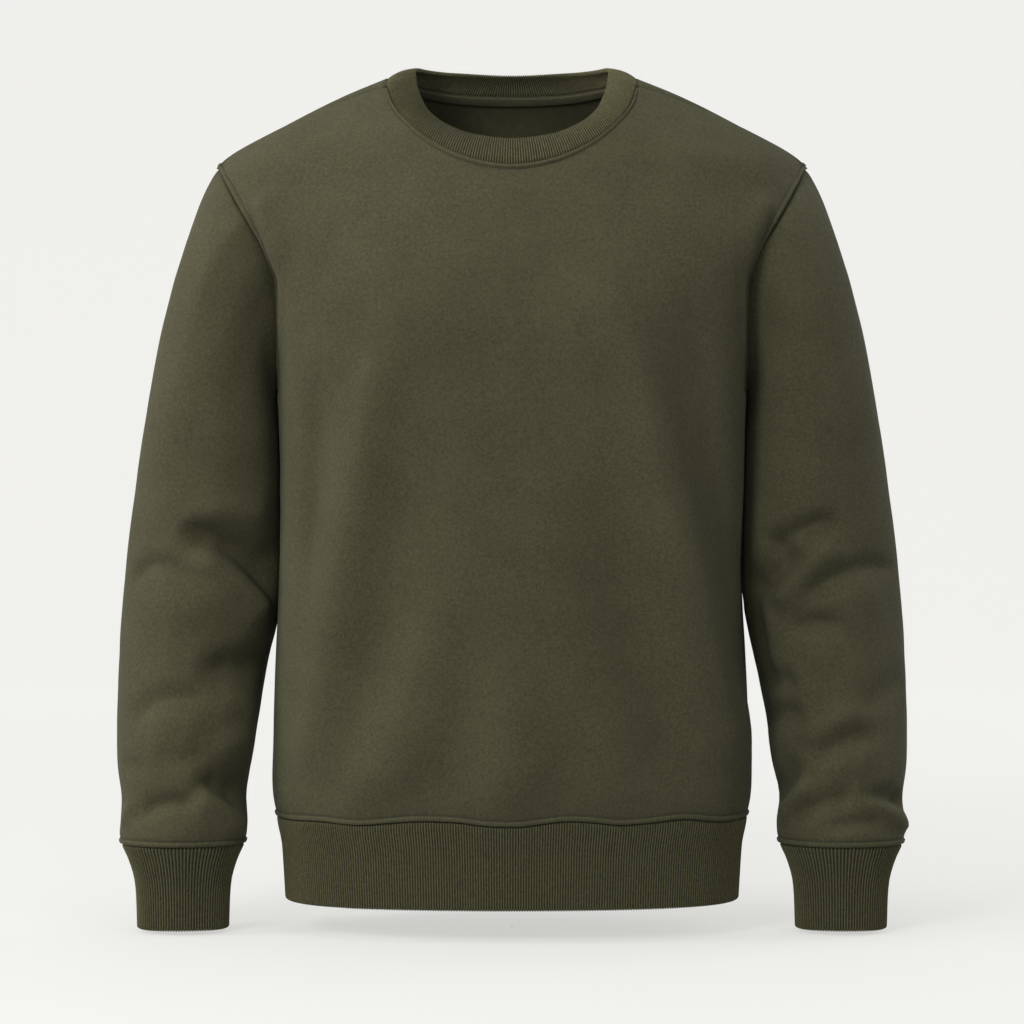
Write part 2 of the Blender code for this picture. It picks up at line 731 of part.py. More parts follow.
def make_neck_tape(back, back_out):
    """A narrow tape inside the back, over the neck seam, on the back's own points."""
    below, edge = back[-2:, NECK][:, 1:-1]
    below_out, edge_out = back_out[-2:, NECK][:, 1:-1]
    height = np.linalg.norm(below - edge, axis=1, keepdims=True)
    shares = np.stack([TAPE_WIDTH / height, TAPE_EDGE / height])
    points = edge + (below - edge) * shares
    out = edge_out + (below_out - edge_out) * shares
    near = np.full(points.shape[:2], -(FLEECE_WALL / 2 + TAPE_GAP))
    outer = raised(points, out, near)
    inner = raised(points, out, near - TAPE_WALL)
    wall("neck_tape", outer[:, ::-1], inner[:, ::-1], False, OLIVE_TAPE)


def main():
    for thing in list(bpy.data.objects):
        bpy.data.objects.remove(thing)
    seams = make_body_and_sleeves()
    make_neckband(seams["neck"])
    make_hem_band(seams["hem"])
    make_cuff("cuff_left", seams["left"])
    make_cuff("cuff_right", seams["right"])


main()
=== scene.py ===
"""Crewneck sweatshirt in olive fleece, filled out as if worn, with nobody in it."""

import bpy
import numpy as np
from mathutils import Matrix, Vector, noise


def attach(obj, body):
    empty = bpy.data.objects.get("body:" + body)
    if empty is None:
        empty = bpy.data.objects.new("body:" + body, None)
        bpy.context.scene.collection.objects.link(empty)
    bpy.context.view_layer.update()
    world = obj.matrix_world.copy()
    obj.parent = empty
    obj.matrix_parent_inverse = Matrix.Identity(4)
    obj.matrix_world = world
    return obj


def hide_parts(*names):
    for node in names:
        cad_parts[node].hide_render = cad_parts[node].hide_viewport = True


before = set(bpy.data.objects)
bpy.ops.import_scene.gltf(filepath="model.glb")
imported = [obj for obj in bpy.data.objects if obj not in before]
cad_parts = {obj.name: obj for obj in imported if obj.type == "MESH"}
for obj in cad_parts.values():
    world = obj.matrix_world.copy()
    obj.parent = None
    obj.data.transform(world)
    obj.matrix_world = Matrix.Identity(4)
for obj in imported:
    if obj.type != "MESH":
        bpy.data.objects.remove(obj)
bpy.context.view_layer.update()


# ---- Front and back panels ---------------------------------------------------------
# Two panels of heavy sweatshirt fleece, knitted smooth outside and brushed inside.
# They are sewn together at the sides and shoulders. The seam allowance is pressed onto
# the panel along the neck, armholes and hem, where it shows as a narrow raised welt.

MM = 0.001
FLEECE = 2.2
WELT_RISE = 1.6
ARM_WELT_RISE = 2.1
WELT_START = 1.5
WELT_REACH = 5.5
WELT_END = 1.9
WELT_GROOVE = 0.8
PLAIN_GROOVE = 0.9
STITCH_LINE = 5.1
STITCH_DIP = 0.6
STITCH_DIP_WIDTH = 0.8
SEAM_SINK = 1.8
SEAM_EASE = 7
CORNER_REACH = 18.0
SHOULDER_GROOVE_START = 3
SHOULDER_GROOVE_EASE = 8
BACK_CORNER_WELT = 0.2
EDGE_PLACES = (0, 0.35, 0.8, 1.3, 1.9, 2.7, 3.5, 4.2, 4.7, 5.1, 5.6, 6.3, 7.4, 9, 11.3)
CLOTH_STEP = 3.1
HALF_GIRTH = 272.0
ARMHOLE_LENGTH = 196.0
FORM_HALF = 200.0

SHOULDER_X = 246.0
SHOULDER_Z = -71.6
NECK_HALF = 104.8
NECK_SIDE_Z = 2.5
FRONT_NECK_DROP = 78.7
FRONT_NECK_POWER = 1.9
BACK_NECK_DROP = 2.0
BACK_NECK_POWER = 2.4
NECK_PART = 7 / 11
NECK_CORNER = 40
SHOULDER_SEAM_FORWARD = 24.0
CREST_FLAT = 0.3
CREST_SPREAD = 40
CREST_RISE = 34
CREST_GRIP = 8
CHEST_Z = -102.0
UNDERARM_Z = -263.0
EDGE_TURN = 14.0
EDGE_POWER = 1.5
EDGE_ROLL = 4.0
EDGE_ROLL_START = 60
EDGE_ROLL_TOP_Z = -135
EDGE_ROLL_END = 40
EDGE_ROLL_WIDTH = 8
HEM_SEAM_Z = -613.0
HEM_WAVE_REACH = 22
SIDE_CALM = 22
TOP_CALM = 30
HEM_CALM = 45
HEM_FOLD_SHARE = 0.12
PANEL_WAVES = ((70, 0.6), (28, 0.25))
BODY_EVENING = ((-200, -130, -95, -60), (14, 12, 4, 3))
EVENING_MARGIN = 120
EDGE_SAMPLES = 400
QUARTER_SAMPLES = 4000
HALVINGS = 30
SETTLINGS = 40
FOLD_STEPS = 40


def table(columns, *rows):
    """A short table: one array for each named column, one entry for each row."""
    values = np.array(rows, float)
    return {name: values[:, i] for i, name in enumerate(columns.split())}


BODY = table(
    "z half_front half_back depth_front depth_back squareness",
    (2.5, 104.8, 104.8, 38, 66, 2.0),
    (-11.5, 139, 139, 48, 79, 2.0),
    (-28.5, 173.5, 173.5, 62, 90, 2.0),
    (-46, 207, 207, 75, 97, 2.05),
    (-64, 238, 238, 85, 103, 2.1),
    (-71.6, 246, 246, 89, 105, 2.15),
    (-86, 250, 249, 94, 108, 2.2),
    (-102, 249, 250, 99, 110, 2.35),
    (-123, 242, 244, 104, 112, 2.7),
    (-149, 221, 233, 109, 113, 3.1),
    (-180, 201.5, 227, 115, 114, 3.3),
    (-210, 198.5, 216, 117, 114, 3.2),
    (-240, 196.5, 206, 118, 113, 3.1),
    (-263, 195.3, 195.3, 118, 112, 3.0),
    (-300, 193.6, 193.6, 117, 109, 3.0),
    (-350, 192.8, 192.8, 114, 105, 3.0),
    (-385, 192.3, 192.3, 113, 103, 3.0),
    (-412, 193.2, 193.2, 112, 101, 3.0),
    (-440, 194.8, 194.8, 111, 99, 2.9),
    (-470, 196.4, 196.4, 109, 98, 2.85),
    (-510, 198, 198, 108, 97, 2.75),
    (-560, 199.5, 199.5, 109, 99, 2.6),
    (-603, 200.5, 200.5, 110, 100, 2.5),
    (-613, 196.5, 196.5, 107, 97, 2.5),
)

ARMHOLE = table(
    "rise z front_x front_y back_x back_y",
    (0.00, -263, 195.3, 0, 195.3, 0),
    (0.08, -257, 195, -13, 197, 17),
    (0.20, -239, 194, -27, 202, 38),
    (0.36, -209, 193, -41, 209, 56),
    (0.52, -177, 194.0, -51, 215, 63),
    (0.68, -149, 202.5, -62, 222, 60),
    (0.80, -125, 216, -63, 231, 50),
    (0.90, -103, 229, -50, 240, 36),
    (0.96, -86, 238, -32, 245, 20),
    (1.00, -71.6, 246, 0, 246, 0),
)

# How far the hem seam hangs above or below its level, across the front.
HEM_WAVE = table(
    "x drop",
    (-197, -1.0), (-183, -1.6), (-158, -0.8), (-126, -2.0), (-94, 0.6), (-73, 2.0),
    (-44, 1.2), (-17, -1.6), (6, -2.0), (18, -0.6), (46, 2.2), (68, 0.8), (87, -1.4),
    (108, -0.4), (137, 1.8), (174, -2.0), (197, -1.0),
)

# Folds: each follows a line through three points, in millimetres across and up. Its
# crest is as high as given and falls away over one width on the left of the line and
# another on its right. It widens along the line, and rises and fades over a share of it.
FOLD = "x1 z1 x2 z2 x3 z3 left right widen height start finish"
FRONT_FOLDS = table(
    FOLD,
    (-102, -205, -134, -377, -171, -591, 21.6, 14.3, 0.95, 7, 0.18, 0.11),
    (-153, -227, -163, -338, -168, -468, 20.2, 14.5, 0.5, -9, 0.32, 0.42),
    (-92, -269, -92, -399, -140, -581, 25.3, 17.9, 1.3, -4.4, 0.44, 0.32),
    (-60, -416, -81, -508, -135, -621, 32.2, 21.3, 0.84, 7.2, 0.42, 0.05),
    (-39, -446, -55, -519, -104, -593, 19.6, 18.3, 0.95, 1.6, 0.34, 0.1),
    (-31, -455, 0, -550, -16, -628, 31.7, 33, 0.93, 9, 0.37, 0.05),
    (27, -504, 20, -549, 21, -604, 15.1, 16, 0.98, 0.51, 0.4, 0.11),
    (53, -508, 87, -557, 97, -597, 20.4, 13.8, 1.1, 1.7, 0.42, 0.11),
    (55, -323, 105, -482, 152, -643, 26.8, 32, 0.88, -9, 0.34, 0.31),
    (87, -174, 132, -356, 183, -587, 16.8, 22.3, 0.94, 9, 0.3, 0.098),
    (135, -157, 173, -351, 202, -549, 14.8, 31.4, 0.5, -9, 0.25, 0.19),
    (-212, -99, -202, -130, -197, -176, 14, 6, 1.0, 9, 0.3, 0.3),
    (197, -176, 202, -130, 212, -99, 14, 6, 1.0, 7, 0.3, 0.3),
    (-117, -192, -64, -217, -7, -240, 19.2, 18.3, 1.3, 4.1, 0.31, 0.53),
    (-154, -143, -40, -177, 64, -137, 46, 46, 1.8, 9, 0.27, 0.57),
    (21, -164, 72, -198, 115, -183, 24.5, 45.1, 1.3, 7.3, 0.42, 0.45),
)
BACK_FOLDS = table(
    FOLD,
    (-110, -200, -128, -380, -170, -590, 20, 24, 1.1, 5.5, 0.3, 0.2),
    (-80, -300, -96, -420, -120, -580, 16, 20, 1.1, -3.5, 0.4, 0.3),
    (112, -230, 132, -380, 168, -585, 24, 18, 1.1, 5.0, 0.3, 0.2),
    (78, -330, 92, -440, 118, -590, 18, 18, 1.0, -3.0, 0.3, 0.3),
    (-40, -420, -52, -510, -66, -600, 18, 18, 1.0, 3.0, 0.4, 0.1),
    (-16, -440, -20, -520, -24, -602, 16, 16, 1.0, -2.2, 0.4, 0.1),
    (36, -430, 46, -520, 52, -600, 18, 18, 1.0, 2.6, 0.4, 0.1),
    (-150, -140, 0, -120, 150, -142, 30, 40, 1.0, 2.5, 0.3, 0.3),
    (-60, -26, 0, -34, 64, -25, 10, 14, 1.0, -1.6, 0.4, 0.4),
)


def blend(t, first, way_out, last, way_in):
    """A smooth course from first to last that leaves and arrives along given ways."""
    leaving = (1 + 2 * t) * (1 - t) ** 2 * first + t * (1 - t) ** 2 * way_out
    arriving = t * t * (3 - 2 * t) * last - t * t * (1 - t) * way_in
    return leaving + arriving


def at(source, column, key, where):
    """Read a column at any place along the key column, with no overshoot."""
    order = np.argsort(source[key])
    xs = source[key][order]
    ys = source[column][order]
    step = np.diff(xs)
    slope = np.diff(ys) / step
    tangent = np.concatenate([slope[:1], np.zeros(len(ys) - 2), slope[-1:]])
    same = slope[1:] * slope[:-1] > 0
    mean = 2 * slope[1:] * slope[:-1] / np.where(same, slope[1:] + slope[:-1], 1)
    tangent[1:-1] = np.where(same, mean, 0)
    inside = np.clip(where, xs[0], xs[-1])
    i = np.clip(np.searchsorted(xs, inside, side="right") - 1, 0, len(xs) - 2)
    t = (inside - xs[i]) / step[i]
    return blend(t, ys[i], step[i] * tangent[i], ys[i + 1], step[i] * tangent[i + 1])


def evened(source, key, reach):
    """The same table read every millimetre and averaged over a reach that may vary."""
    low, high = source[key].min(), source[key].max()
    spots = np.arange(low - EVENING_MARGIN, high + EVENING_MARGIN + 1)
    fine = {key: np.clip(spots, low, high)}
    inside = (spots >= low) & (spots <= high)
    width = np.interp(spots, *reach)
    share = np.exp(-0.5 * ((spots[:, None] - spots) / width[:, None]) ** 2)
    share /= share.sum(axis=1, keepdims=True)
    for column in source:
        if column == key:
            continue
        values = at(source, column, key, spots)
        first, last = values[0], values[-1]
        start = at(source, column, key, low + 1) - first
        end = last - at(source, column, key, high - 1)
        values = values + np.minimum(spots - low, 0) * start + np.maximum(spots - high, 0) * end
        fine[column] = (share @ values)[inside]
    fine[key] = spots[inside]
    return fine


def soft(amount):
    """Ease from 0 to 1."""
    amount = np.clip(amount, 0, 1)
    return amount * amount * (3 - 2 * amount)


def unit(vectors):
    return vectors / np.maximum(np.linalg.norm(vectors, axis=-1, keepdims=True), 1e-9)


def stack(x, y, z):
    return np.stack(np.broadcast_arrays(x, y, z), axis=-1).astype(float)


def mirrored(vectors):
    return vectors * (-1, 1, 1)


def travelled(points, axis):
    """Distance run along the cloth from the start of each row or column."""
    moved = np.linalg.norm(np.diff(points, axis=axis), axis=-1)
    return np.concatenate([np.zeros_like(moved.take([0], axis)), np.cumsum(moved, axis)], axis)


def left_to_run(points, axis):
    """Distance along the cloth to the end of each row or column."""
    return np.flip(travelled(np.flip(points, axis), axis), axis)


def read_along(line, distance, places):
    """Points at some places on a line, whose points lie at the given distances."""
    return np.stack([np.interp(places, distance, line[:, i]) for i in range(3)], axis=-1)


def resample(line, shares):
    """Points at given shares of a line's length."""
    length = travelled(line, 0)
    return read_along(line, length, shares * length[-1])


def places_from_edge(length, step):
    """Distances from a sewn edge: close together over the seam, then even."""
    count = int(np.ceil((length - EDGE_PLACES[-1]) / step))
    return np.concatenate([EDGE_PLACES, np.linspace(EDGE_PLACES[-1], length, count + 1)[1:]])


def stand_off(side, x, z):
    """How far the front or back lies from the plane of the side seams."""
    half = at(BODY, "half_" + side, "z", z)
    depth = at(BODY, "depth_" + side, "z", z)
    power = at(BODY, "squareness", "z", z)
    reach = np.clip(np.abs(x) / half, 0, 1)
    return depth * (1 - reach ** power) ** (1 / power)


def height_on_shoulder(side, x, off):
    """The height at which the body stands off this far, near the shoulder's crest."""
    low = np.full(np.shape(x), CHEST_Z)
    high = np.full(np.shape(x), NECK_SIDE_Z)
    off = np.maximum(off, CREST_FLAT)
    for _ in range(HALVINGS):
        middle = (low + high) / 2
        above = stand_off(side, x, middle) < off
        high = np.where(above, middle, high)
        low = np.where(above, low, middle)
    return (low + high) / 2


def height_over(x, y):
    """The body's height near the shoulder's crest, in front of it (-Y) or behind it."""
    front_z = height_on_shoulder("front", x, np.abs(y))
    back_z = height_on_shoulder("back", x, np.abs(y))
    return np.where(y < 0, front_z, back_z)


def near_crest(y, z):
    return np.exp(-(y / CREST_SPREAD) ** 2) * soft((z - CHEST_Z) / CREST_RISE)


def roll_forward(points):
    """Slide the cloth over the shoulder's crest, which brings the seam to the front."""
    x, y, z = np.moveaxis(points, -1, 0)
    tip = np.clip((np.abs(x) - NECK_HALF) / (SHOULDER_X - NECK_HALF), 0, 1)
    near = near_crest(y, z)
    moved = y - SHOULDER_SEAM_FORWARD * (1 - tip) * near
    change = height_over(x, moved) - height_over(x, y)
    return stack(x, moved, z + change * np.clip(near * CREST_GRIP, 0, 1))


def crest_height(x):
    heights = np.linspace(SHOULDER_Z, NECK_SIDE_Z, EDGE_SAMPLES)
    return np.interp(-np.abs(x), -at(BODY, "half_front", "z", heights), heights)


BODY = evened(BODY, "z", BODY_EVENING)
COLUMN_SHARE = 1 - places_from_edge(HALF_GIRTH, CLOTH_STEP)[::-1] / HALF_GIRTH
LOW_LEVELS = HEM_SEAM_Z + places_from_edge(UNDERARM_Z - HEM_SEAM_Z, CLOTH_STEP)[:-1]
CLIMB = 1 - places_from_edge(ARMHOLE_LENGTH, CLOTH_STEP)[::-1] / ARMHOLE_LENGTH
LOW_ROWS = len(LOW_LEVELS)
LAST = 2 * (len(COLUMN_SHARE) - 1)
NECK_SHARE = COLUMN_SHARE[np.argmin(np.abs(COLUMN_SHARE - NECK_PART))]
NECK_START = int(np.sum(COLUMN_SHARE > NECK_SHARE + 1e-9))
NECK = slice(NECK_START, LAST - NECK_START + 1)


def before_rolling(x, y, z):
    """Where a line on the front lay before the cloth slid forward over the shoulder."""
    start_y, start_z = y, z
    for _ in range(SETTLINGS):
        start_y = y + SHOULDER_SEAM_FORWARD * near_crest(start_y, start_z)
        start_z = height_over(x, np.minimum(start_y, 0))
    line = stack(x, start_y, start_z)[start_y < 0]
    return np.concatenate([line, [(NECK_HALF, 0, NECK_SIDE_Z)]])


def top_edge(side, drop, power):
    """A panel's top, from the middle of the neck to the tip of the shoulder."""
    turn = np.linspace(0, np.pi / 2, EDGE_SAMPLES)
    neck_x = NECK_HALF * np.sin(turn)
    neck_z = NECK_SIDE_Z - (drop + NECK_SIDE_Z) * (1 - np.sin(turn) ** power) ** (1 / power)
    off = stand_off(side, neck_x, neck_z)
    line = stack(neck_x, off - off[-1] * np.sin(turn) ** NECK_CORNER, neck_z)
    if side == "front":
        line = before_rolling(neck_x, -line[:, 1], neck_z)
    share = COLUMN_SHARE[COLUMN_SHARE <= NECK_SHARE + 1e-9] / NECK_SHARE
    neck = resample(line, share)
    rest = COLUMN_SHARE[len(neck):]
    along = NECK_HALF + (SHOULDER_X - NECK_HALF) * (rest - NECK_SHARE) / (1 - NECK_SHARE)
    return np.concatenate([neck, stack(along, 0, crest_height(along))])


def panel(side, drop, power):
    """Rows from the hem up and columns from -X to +X, on the body's form."""
    sign = -1 if side == "front" else 1
    fine = np.linspace(0, 1, QUARTER_SAMPLES) ** 0.5 * FORM_HALF
    quarter = stack(fine, stand_off(side, fine, UNDERARM_Z), 0)
    share = resample(quarter, COLUMN_SHARE)[:, 0] / FORM_HALF
    half = at(BODY, "half_" + side, "z", LOW_LEVELS)
    low_x = half[:, None] * share
    low_z = np.repeat(LOW_LEVELS[:, None], len(share), axis=1)
    low = stack(low_x, sign * stand_off(side, low_x, low_z), low_z)
    low[:, -1, 1] = 0

    top = top_edge(side, drop, power)
    edge_z = UNDERARM_Z + (SHOULDER_Z - UNDERARM_Z) * CLIMB
    rise = at(ARMHOLE, "rise", "z", edge_z)
    edge_x = at(ARMHOLE, side + "_x", "rise", rise)[:, None]
    edge_y = at(ARMHOLE, side + "_y", "rise", rise)[:, None]
    climb = CLIMB[:, None]
    x = share * edge_x + (top[:, 0] - share * SHOULDER_X) * climb ** 2
    z = UNDERARM_Z + (top[:, 2] - UNDERARM_Z) * climb
    y = sign * stand_off(side, x, z)
    from_side = HALF_GIRTH * (1 - COLUMN_SHARE)
    y += (edge_y - y[:, -1:]) * np.exp(-(from_side / EDGE_TURN) ** EDGE_POWER)
    y[-1] = top[:, 1]
    half_grid = np.concatenate([low, roll_forward(stack(x, y, z))])
    height = half_grid[..., 2]
    over = EDGE_ROLL * soft((height - UNDERARM_Z) / EDGE_ROLL_START)
    over *= soft((EDGE_ROLL_TOP_Z - height) / EDGE_ROLL_END)
    half_grid[..., 0] += over * np.exp(-((from_side - EDGE_TURN) / EDGE_ROLL_WIDTH) ** 2)
    return np.concatenate([mirrored(half_grid[:, :0:-1]), half_grid], axis=1)


def fold_height(folds, x, z):
    """Height of all the folds at each point of the cloth."""
    total = np.zeros(x.shape)
    t = np.linspace(0, 1, FOLD_STEPS + 1)
    share = np.stack([(1 - t) * (1 - 2 * t), 4 * t * (1 - t), t * (2 * t - 1)], axis=1)
    for x1, z1, x2, z2, x3, z3, left, right, widen, height, start, finish in zip(*folds.values()):
        line = share @ np.array([(x1, z1), (x2, z2), (x3, z3)])
        way = unit(np.gradient(line, axis=0))
        length = np.linalg.norm(line[-1] - line[0])
        reach = 3 * max(left, right) * max(widen, 1)
        box = (x > line[:, 0].min() - reach) & (x < line[:, 0].max() + reach)
        box &= (z > line[:, 1].min() - reach) & (z < line[:, 1].max() + reach)
        gap = np.stack([x[box], z[box]], axis=1)[:, None] - line
        near = np.argmin(np.sum(gap * gap, axis=2), axis=1)
        gap = gap[np.arange(len(near)), near]
        ahead = np.sum(gap * way[near], axis=1)
        aside = way[near, 0] * gap[:, 1] - way[near, 1] * gap[:, 0]
        beyond = (near == 0) & (ahead < 0) | (near == FOLD_STEPS) & (ahead > 0)
        past = np.where(beyond, ahead, 0)
        along = np.clip(near / FOLD_STEPS + (ahead - past) / length, 0, 1)
        width = np.where(aside > 0, left, right) * (1 + (widen - 1) * along)
        fade = soft(along / start) * soft((1 - along) / finish)
        total[box] += height * fade * np.exp(-(aside / width) ** 2 - (past / width) ** 2)
    return total


def directions(points, side="front", closed=False):
    """Outward direction of the cloth at each point of a grid."""
    up = np.gradient(points, axis=0)
    if closed:
        round_it = np.roll(points, -1, axis=1) - np.roll(points, 1, axis=1)
    else:
        round_it = np.gradient(points, axis=1)
    outward = unit(np.cross(round_it, up))
    return -outward if side == "back" else outward


def unevenness(points, waves):
    """Slow, slight unevenness, as a soft cloth has everywhere: waves by size and height."""
    total = 0
    for size, height in waves:
        flat = [noise.noise(Vector(p) / size) for p in points.reshape(-1, 3).tolist()]
        total = total + height * np.array(flat).reshape(points.shape[:2])
    return total


def folded_panel(side, drop, power, folds):
    """A panel on the body's form, with its folds and the slight wave of its hem seam."""
    points = panel(side, drop, power)
    from_side = np.minimum(travelled(points, 1), left_to_run(points, 1))
    height = fold_height(folds, points[..., 0], points[..., 2])
    height += unevenness(points, PANEL_WAVES)
    near_hem = HEM_FOLD_SHARE + (1 - HEM_FOLD_SHARE) * soft(travelled(points, 0) / HEM_CALM)
    calm = soft(from_side / SIDE_CALM) * soft(left_to_run(points, 0) / TOP_CALM) * near_hem
    points = points + directions(points, side) * (height * calm)[..., None]
    hang = at(HEM_WAVE, "drop", "x", points[0, :, 0] * (1 if side == "front" else -1))
    points[..., 2] += hang * np.exp(-((points[..., 2] - HEM_SEAM_Z) / HEM_WAVE_REACH) ** 2)
    return points


def plain_seam(distance, width=PLAIN_GROOVE):
    return -SEAM_SINK * np.exp(-(distance / width) ** 2)


def welt_profile(distance, height=WELT_RISE):
    """Height of the cloth beside a welted seam: a groove, the welt, then a stitched dip."""
    body = height * soft(distance / WELT_START) * soft((WELT_REACH - distance) / WELT_END)
    stitched = -STITCH_DIP * np.exp(-((distance - STITCH_LINE) / STITCH_DIP_WIDTH) ** 2)
    return plain_seam(distance, WELT_GROOVE) + body + stitched


def eased(out, edge, distance):
    """Turn the outward direction gradually to the one that a seam needs."""
    share = (1 - soft(distance / SEAM_EASE))[..., None]
    return unit(out * (1 - share) + edge * share)


def smoothed(out, times):
    for _ in range(times):
        out = unit(2 * out + np.roll(out, 1, axis=0) + np.roll(out, -1, axis=0))
    return out


def placed(name, data):
    """A new object in the scene that holds this mesh, lamp or lens."""
    thing = bpy.data.objects.new(name, data)
    bpy.context.scene.collection.objects.link(thing)
    return thing


def smooth_mesh(name, points, faces):
    mesh = bpy.data.meshes.new(name)
    mesh.from_pydata(points.tolist(), [], faces.tolist())
    mesh.polygons.foreach_set("use_smooth", np.ones(len(faces), bool))
    return mesh


def mark_lay(mesh, places):
    """Keep where each corner lay on the cloth, in millimetres, as the piece's UV map."""
    lay = mesh.uv_layers.new(name="lay")
    lay.data.foreach_set("uv", (places * MM).reshape(-1).astype(np.float32))


def joined_mesh(name, outer, inner, spread, closed, materials):
    """A cloth piece as a closed wall between two grids; spread is its lay on a table."""
    rows, columns = outer.shape[:2]
    steps = columns if closed else columns - 1
    r, c = np.meshgrid(np.arange(rows - 1), np.arange(steps), indexing="ij")
    grid = np.stack([np.stack([r, c], -1), np.stack([r, c + 1], -1),
                     np.stack([r + 1, c + 1], -1), np.stack([r + 1, c], -1)], axis=2)
    grid = grid.reshape(-1, 4, 2)
    outside = np.concatenate([grid, np.zeros((len(grid), 4, 1), int)], axis=2)
    inside = np.concatenate([grid[:, ::-1], np.ones((len(grid), 4, 1), int)], axis=2)
    rims = []
    for row, near, far in ((0, 1, 0), (rows - 1, 0, 1)):
        for k in range(steps):
            rims.append([(row, k, near), (row, k + 1, near), (row, k + 1, far), (row, k, far)])
    if not closed:
        for column, near, far in ((0, 0, 1), (steps, 1, 0)):
            for k in range(rows - 1):
                rims.append([(k, column, near), (k + 1, column, near),
                             (k + 1, column, far), (k, column, far)])
    corners = np.concatenate([outside, inside, np.array(rims)])
    faces = corners[..., 0] * columns + corners[..., 1] % columns
    faces += corners[..., 2] * rows * columns
    mesh = smooth_mesh(name, np.concatenate([outer, inner]).reshape(-1, 3) * MM, faces)
    for material in materials:
        mesh.materials.append(material)
    which = np.zeros(len(faces), np.int32)
    which[len(outside):len(outside) + len(inside)] = len(materials) - 1
    mesh.polygons.foreach_set("material_index", which)
    mark_lay(mesh, spread[corners[..., 0], np.minimum(corners[..., 1], spread.shape[1] - 1)])
    return placed(name, mesh)


def laid_flat(points, closed=False):
    """Where each point of a piece lay on the cloth, across and up, in millimetres."""
    if closed:
        points = np.concatenate([points, points[:, :1]], axis=1)
    across = travelled(points, 1)
    if not closed:
        across = across - across[:, across.shape[1] // 2][:, None]
    return np.stack([across, travelled(points, 0)], axis=-1)


def new_nodes(tree, *wanted):
    return [tree.nodes.new(kind) for kind in wanted]


def set_inputs(node, values):
    for socket, value in values.items():
        node.inputs[socket].default_value = value


def link(tree, *links):
    """Join nodes: each link names a node and its output, then a node and its input."""
    for source, output, target, socket in links:
        tree.links.new(source.outputs[output], target.inputs[socket])


def reckon(tree, operation, *values):
    """A Math node, each of whose inputs is a socket or a number."""
    node = tree.nodes.new("ShaderNodeMath")
    node.operation = operation
    for socket, value in zip(node.inputs, values):
        if isinstance(value, (int, float)):
            socket.default_value = value
        else:
            tree.links.new(value, socket)
    return node.outputs[0]


def weighed(tree, *parts):
    """The sum of several values, each times its share."""
    total = reckon(tree, "MULTIPLY", *parts[0])
    for value, share in parts[1:]:
        total = reckon(tree, "MULTIPLY_ADD", value, share, total)
    return total


def noise_over(tree, scale, detail, rough=0.5):
    """Noise that lies still on the piece's own form."""
    place, pattern = new_nodes(tree, "ShaderNodeTexCoord", "ShaderNodeTexNoise")
    set_inputs(pattern, {"Scale": scale, "Detail": detail, "Roughness": rough})
    link(tree, (place, "Object", pattern, "Vector"))
    return pattern.outputs["Fac"]


def lay_places(tree):
    """Where the cloth lay before it was sewn, across and up."""
    lay, split = new_nodes(tree, "ShaderNodeUVMap", "ShaderNodeSeparateXYZ")
    lay.uv_map = "lay"
    link(tree, (lay, "UV", split, "Vector"))
    return split.outputs["X"], split.outputs["Y"]


def pattern_group(name, knitted):
    """A pattern with a shade and a height, which the given function makes in its tree."""
    tree = bpy.data.node_groups.new(name, "ShaderNodeTree")
    for output in ("Shade", "Height"):
        tree.interface.new_socket(output, in_out="OUTPUT", socket_type="NodeSocketFloat")
    result = tree.nodes.new("NodeGroupOutput")
    for value, output in zip(knitted(tree), ("Shade", "Height")):
        tree.links.new(value, result.inputs[output])
    return tree


FULL_TURN = 6.2832
WALE = 1.3
COURSE = 1.05
LOOP_SLANT = 1.3


def knit_face(tree):
    """Smooth face of the fleece: columns of V-shaped loops, with painted shade in the gutters between
    them, and slight heathering.
    """
    across, up = lay_places(tree)
    off = reckon(tree, "FRACT", reckon(tree, "DIVIDE", across, WALE * MM))
    off = reckon(tree, "ABSOLUTE", reckon(tree, "SUBTRACT", off, 0.5))
    course = reckon(tree, "DIVIDE", up, COURSE * MM)
    slanted = reckon(tree, "MULTIPLY_ADD", off, LOOP_SLANT, course)
    loops = reckon(tree, "SINE", reckon(tree, "MULTIPLY", slanted, FULL_TURN))
    gutter = reckon(tree, "POWER", reckon(tree, "MULTIPLY", off, 2.0), 4.0)
    knit = reckon(tree, "SUBTRACT", reckon(tree, "MULTIPLY_ADD", loops, 0.5, 0.5), gutter)
    fuzz = noise_over(tree, scale=1400, detail=3, rough=0.7)
    heather = noise_over(tree, scale=420, detail=3, rough=0.65)
    wear = noise_over(tree, scale=26, detail=2)
    # The knit term in the shade is painted shade: darker in the gutters between wales, lighter on the
    # loops. Heather and wear are the yarn's own tone.
    return (weighed(tree, (heather, 0.9), (wear, 0.25), (knit, 0.12)),
            weighed(tree, (knit, 1.0), (fuzz, 1.6)))


def brushed_inside(tree):
    """Brushed inside of the fleece: short raised fibres with no pattern."""
    fibres = noise_over(tree, scale=900, detail=5, rough=0.8)
    tufts = noise_over(tree, scale=170, detail=2)
    return weighed(tree, (fibres, 0.6), (tufts, 0.5)), fibres


def new_finish(name, values):
    """A material with these values, its tree and its shader."""
    material = bpy.data.materials.new(name)
    material.use_nodes = True
    shader = material.node_tree.nodes["Principled BSDF"]
    set_inputs(shader, values)
    return material, material.node_tree, shader


